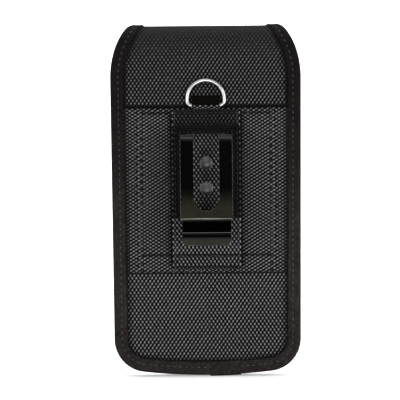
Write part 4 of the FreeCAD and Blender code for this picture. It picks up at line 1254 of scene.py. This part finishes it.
def make_clip():
    """The slotted spring clip, with rounded edges that catch the light."""
    low, high = span("belt_clip")
    thick, bend = CLIP_SHEET, 4.65
    plate = span("belt_strap_inner")[0].y
    crease, crease_depth, leaf_end, flare = -6.4, -28.5, -22.1, 2.6
    lip = low.z + thick * math.sin(math.atan(flare / 6.2))
    route = Route([(plate, -14.0, 0), (plate, high.z, bend), (low.y, high.z, bend), (low.y, leaf_end, 2.2),
                   (crease, crease_depth, 1.2), (crease - flare, lip, 0)])
    top, half, slot = route.length_at(high.z - bend), high.x, 6.2
    step, chamfer, end = 0.6, 2.0, route.lengths[-1]
    slot_start, slot_end = 11.0, -17.9
    first, last = route.length_at(slot_start), route.length_at(slot_end, top + 2 * bend)
    bends = route.length_at(leaf_end + 1.0, top + 2 * bend)
    right = [(0, 0), (half, 0), (half, bends), (half - step, bends + 0.6), (half - step, end - chamfer),
             (half - step - chamfer, end), (0, end), (0, last)]
    right += [(slot * math.sin(turn), last - slot + slot * math.cos(turn))
              for turn in spread(0.0, math.pi / 2, 12)[1:]]
    right += [(slot, first), (0, first)]
    left = [(-x, y) for x, y in right[::-1]]
    starts, ends = route.bends()
    sheet = cut_sheet([right, left], end, lines_y=sorted({*starts, *ends}))
    shape = Shape()
    shape.sheet(sheet, route.place, lambda x, y: 0.0, lambda x, y: thick)
    piece = shape.make("spring_clip", STEEL, BARE_EDGE_GLINT, sharp=30.0)
    bevel = piece.modifiers.new("edges", "BEVEL")
    bevel.width = 0.4 * MM
    bevel.segments = 4
    bevel.material = 1
    bevel.limit_method = "ANGLE"
    bevel.angle_limit = math.radians(35)
    bevel.harden_normals = True
    settle(piece)
    dress(piece, "clip_steel", "pouch", "belt_clip")


def make_patches():
    """Hooks inside the flap and loops on the front, each on its own woven ground."""
    rows = [("loop_patch", "loop_ground", "loops", LOOPS, 1.7, 0.55, 0.13, "pouch"),
            ("hook_patch", "hook_ground", "hooks", HOOKS, 1.5, 0.42, 0.11, "flap_front")]
    for node, ground_name, name, finish, pitch, radius, size, body in rows:
        low, high = span(node)
        hooked = node == "hook_patch"
        base = high.y if hooked else low.y
        side = -1 if hooked else 1
        slot = "hook_pile" if hooked else "loop_pile"
        ground, corner, margin = 0.45, 3.0, 3
        middle, half_height = (low.z + high.z) / 2, (high.z - low.z) / 2
        outline = []
        for x_side, z_side, first in ((1, 1, 0), (-1, 1, 90), (-1, -1, 180), (1, -1, 270)):
            centre = ((high.x - corner) * x_side, middle + (half_height - corner) * z_side)
            outline += [(centre[0] + corner * math.cos(turn), centre[1] + corner * math.sin(turn))
                        for turn in spread(math.radians(first), math.radians(first + 90), 6)]

        def stand(x, z, depth):
            return Vector((x, base + side * depth, z))

        shape = Shape()
        shape.sheet(cut_sheet([outline], 2.5), stand, lambda x, z: 0.02, lambda x, z: ground)
        piece = shape.make(ground_name, finish)
        dress(piece, slot, body, node)
        spots = []
        columns = int((high.x - low.x - margin) / pitch)
        lines = int((high.z - low.z - margin) / pitch)
        for column in range(columns + 1):
            for line in range(lines + 1):
                x = (column - columns / 2) * pitch
                z = middle + (line - lines / 2) * pitch
                wander = noise.noise_vector(Vector((x * 1.7, z * 1.7, base))) * 0.3 * pitch
                spots.append((x + wander.x, base + side * (ground - 0.12), z + wander.z))
        loops = bare_mesh(name, spots)
        STANDING.run(loops, Radius=radius * MM, Thread=size * MM, Lean=1.0, Seed=SEED, Material=finish)
        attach(loops, body)


def make_seams(strap):
    """Every row of stitches: bindings, double seams, strap, patches."""
    face = TAPE_GROOVE - TAPE - 0.05
    inner_rear = [sample for sample in REAR_EDGE if sample[0].y > MOUTH + 1]
    halves = [[sample for sample in inner_rear if side * sample[0].x > 0] for side in (-1, 1)]
    seams = [seam_along(REAR_EDGE, STITCH_INSET, face, over)]
    seams += [seam_along(half, STITCH_INSET, DEEP - face, over) for half in halves]
    hinge_rear(sew("back_tape_stitches", seams, TAPE_STITCH, THREAD))
    seams = [seam_along(FLAP_EDGE, STITCH_INSET, depth, over) for depth in (face, DEEP - face)]
    hinge_front(sew("flap_tape_stitches", seams, TAPE_STITCH, THREAD))
    seams = [seam_along(FRONT_EDGE, STITCH_INSET, face, before)]
    reach = edge_x(MOUTH, TAPE_WIDTH) - 1
    level = MOUTH + TAPE - STITCH_INSET
    seams += [[before(reach * side, level, depth) for side in (1, -1)] for depth in (face, DEEP - face)]
    on_pouch(sew("front_tape_stitches", seams, TAPE_STITCH, THREAD))

    rows = []
    low, high = PANEL_LOW + 1, PANEL_HIGH - 1
    face = -PANEL_SHEET + 0.1
    for side in (-1, 1):
        for half in (-1, 1):
            x = side * PANEL_SEAM + half * SEAM_GAP / 2
            rows.append([over(x, low, face + 0.12), over(x, high, face + 0.12)])
        for row in STRAP_ROWS:
            level = row[0] - FOLD_LINE
            rows.append([over(side * PANEL_SEAM, level, face), over(side * STRAP_HALF, level, face)])
    on_pouch(sew("panel_stitches", rows, PANEL_STITCH, DARK_THREAD))

    rows = []
    for above, below in STRAP_ROWS:
        after = 0.0 if above > 0 else strap.length_at(0.0)
        for level in (above, below):
            length = strap.length_at(level, after)
            rows.append([strap.place(side * STRAP_SEAM, length, 0.05) for side in (-1, 1)])
    for side in (-1, 1):
        rows.append([strap.place(side * STRAP_SEAM, length, 0.08)
                     for length in spread(1.5, strap.lengths[-1] - 1.5, 60)])
    on_pouch(sew("strap_stitches", rows, STRAP_STITCH, DARK_THREAD))

    for node, body, outwards in (("loop_patch", "pouch", 1), ("hook_patch", "flap_front", -1)):
        low, high = span(node)
        y = (low.y if outwards > 0 else high.y) + outwards * 0.5
        inset = 1.5
        half, bottom, top = high.x - inset, low.z + inset, high.z - inset
        corners = [(half, bottom), (half, top), (-half, top), (-half, bottom), (half, bottom)]
        ring = [(x, y, z) for x, z in corners]
        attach(sew(f"{node}_stitches", [ring], PATCH_STITCH, THREAD), body)


# The camera looks at the belt side, straight on, with a long lens.

def make_camera():
    pixel, frame_width = 0.493, 400
    photo_x, photo_z = 205.8, 174.7
    shift, roll, distance = 0.35, 0.5, 1600.0
    lens = bpy.data.cameras.new("camera")
    lens.sensor_width = 36.0
    lens.lens = lens.sensor_width * distance / (pixel * frame_width)
    lens.clip_start = 0.05
    camera = added("camera", lens)
    middle_x, middle_z = (frame_width / 2 - photo_x) * pixel, (photo_z - frame_width / 2) * pixel
    camera.location = Vector((middle_x - shift, BACK - distance, middle_z)) * MM
    camera.rotation_euler = (math.pi / 2, math.radians(roll), 0)
    bpy.context.scene.camera = camera


def make_light(name, place, size, watts, facing=(0, 0.01, -0.01)):
    """A soft box that faces the middle of the pouch, or another place."""
    light = bpy.data.lights.new(name, "AREA")
    light.shape = "RECTANGLE"
    light.size, light.size_y = size
    light.energy = watts
    box = added(name, light)
    box.location = place
    box.rotation_euler = (Vector(facing) - box.location).to_track_quat("-Z", "Y").to_euler()


def make_studio():
    """A round white sweep, open towards the lens, a sky that is dark low down, and soft boxes."""
    make_light("high", (-0.2, -0.75, 1.35), (1.0, 0.5), 1.6)
    make_light("backdrop", (0.0, 0.6, 1.7), (2.0, 0.6), 55, facing=(0, 2.7, 0.2))
    make_light("left", (-1.0, -0.75, 0.0), (0.7, 1.3), 10)
    make_light("right", (1.0, -0.75, 0.0), (0.7, 1.3), 14)
    make_light("low", (0.0, -1.2, -0.6), (1.2, 0.5), 16)
    world = bpy.data.worlds.new("studio")
    world.use_nodes = True
    bpy.context.scene.world = world
    nodes = Nodes(world.node_tree)
    sky = nodes.add("ShaderNodeTexCoord").out("Generated")
    height = nodes.add("ShaderNodeSeparateXYZ", None, {0: sky}).out("Z")
    share = nodes.add("ShaderNodeMapRange", None, {"Value": height, "From Min": -1.0})
    stops = ((0.6, (0.03, 0.03, 0.03)), (0.9, (0.5, 0.5, 0.5)))
    glow = nodes.add("ShaderNodeValToRGB", {"stops": stops}, {0: share})
    nodes.feed(nodes.tree.nodes["Background"].inputs["Color"], glow)

    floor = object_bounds()[0].z / MM - 0.2
    reach, bend, height = 2200.0, 500.0, 3500.0
    sides, first_wall, last_wall = 72, -4, 40
    line = [(reach + bend * math.sin(turn), floor + bend * (1 - math.cos(turn)))
            for turn in spread(0.0, math.pi / 2, 12)]
    line.append((reach + bend, height))
    shape = Shape()
    for turn in spread(0.0, 2 * math.pi, sides)[:-1]:
        shape.points += [(radius * math.cos(turn), radius * math.sin(turn), z) for radius, z in line]
    count = len(line)
    shape.face([count * number for number in range(sides)], [(0.0, 0.0)] * sides)
    for number in range(first_wall, last_wall):
        near, far = count * (number % sides), count * ((number + 1) % sides)
        for step in range(count - 1):
            shape.face([near + step, far + step, far + step + 1, near + step + 1], [(0.0, 0.0)] * 4)
    sweep = shape.make("studio_sweep", PALE)
    sweep.visible_glossy = False
    bpy.context.scene.view_settings.view_transform = "Standard"


make_camera()
NYLON = ballistic("nylon", folded=True)
NYLON_TURNED = ballistic("nylon_turned", turned=True)
STRAP = ballistic("nylon_strap")
LINING = plain_cloth("lining", (0.006, 0.006, 0.007), (0.03, 0.03, 0.032), 0.45, 0.7, 0.1)
BINDING = binding_tape()
ELASTIC = elastic()
RIBBON = ribbon()
PILE = {"Specular_IOR_Level": 0.2, "Sheen_Weight": 0.2}
FUZZ, TUFT = (2.4, 4.0, 0.7), (0.6, 2.0)
LOOPS = grained("loop_pile", FUZZ, TUFT, 0.7, ((0.004, 0.004, 0.004), (0.04, 0.04, 0.042)),
                0.5, 0.85, **PILE)
HOOKS = grained("hook_pile", FUZZ, TUFT, 0.7, ((0.004, 0.004, 0.004), (0.06, 0.06, 0.062)),
                0.5, 0.85, **PILE)
THREAD = grained("thread", (3.0, 2.0), None, 1.0, ((0.015, 0.014, 0.013), (0.085, 0.08, 0.075)),
                 0.05, 0.45, Specular_IOR_Level=0.4)
DARK_THREAD = grained("dark_thread", (3.0, 2.0), None, 1.0, ((0.003, 0.003, 0.003), (0.02, 0.02, 0.019)),
                      0.05, 0.45, Specular_IOR_Level=0.4)
BOARD = grained("board", (1.6, 4.0, 0.6), None, 1.0, ((0.05, 0.045, 0.04), (0.16, 0.15, 0.135)),
                0.05, 0.8, Specular_IOR_Level=0.3)
STEEL = blackened_steel()
# the clip's bevels: pale as bare steel and as a painted highlight along the edges
BARE_EDGE_GLINT = grained("bare_edge", (0.6, 3.0), None, 1.0, ((0.16, 0.155, 0.145), (0.46, 0.45, 0.43)),
                    0.004, 0.36, 0.1, Metallic=0.4)
GUNMETAL = grained("gunmetal", (4.0, 4.0, 0.6), (0.5, 2.0), 0.4, ((0.18, 0.18, 0.176), (0.32, 0.318, 0.31)),
                   0.012, 0.52, 0.1, Metallic=1.0)
NICKEL = grained("nickel", (5.0, 3.0), (0.4, 2.0), 0.0, ((0.78, 0.77, 0.74), (0.92, 0.91, 0.89)),
                 0.001, 0.27, 0.06, Metallic=1.0)
PALE = grained("studio_white", (0.004, 2.0), None, 1.0, ((0.86, 0.86, 0.86), (0.9, 0.9, 0.9)), 0.0, 0.9,
               Specular_IOR_Level=0.1, Emission_Color=(1, 1, 1, 1), Emission_Strength=0.4)
STITCHES = stitch_tree()
STANDING = loop_tree()

make_panels()
make_tapes()
make_gusset()
make_reinforcement()
strap_face = make_strap()
make_ring_tab()
make_ring()
make_rivets()
make_clip()
make_patches()
make_seams(strap_face)
for name in ("back_board", "front_board", "flap_board"):
    frame["nodes"][name].data.materials.clear()
    frame["nodes"][name].data.materials.append(BOARD)
make_studio()
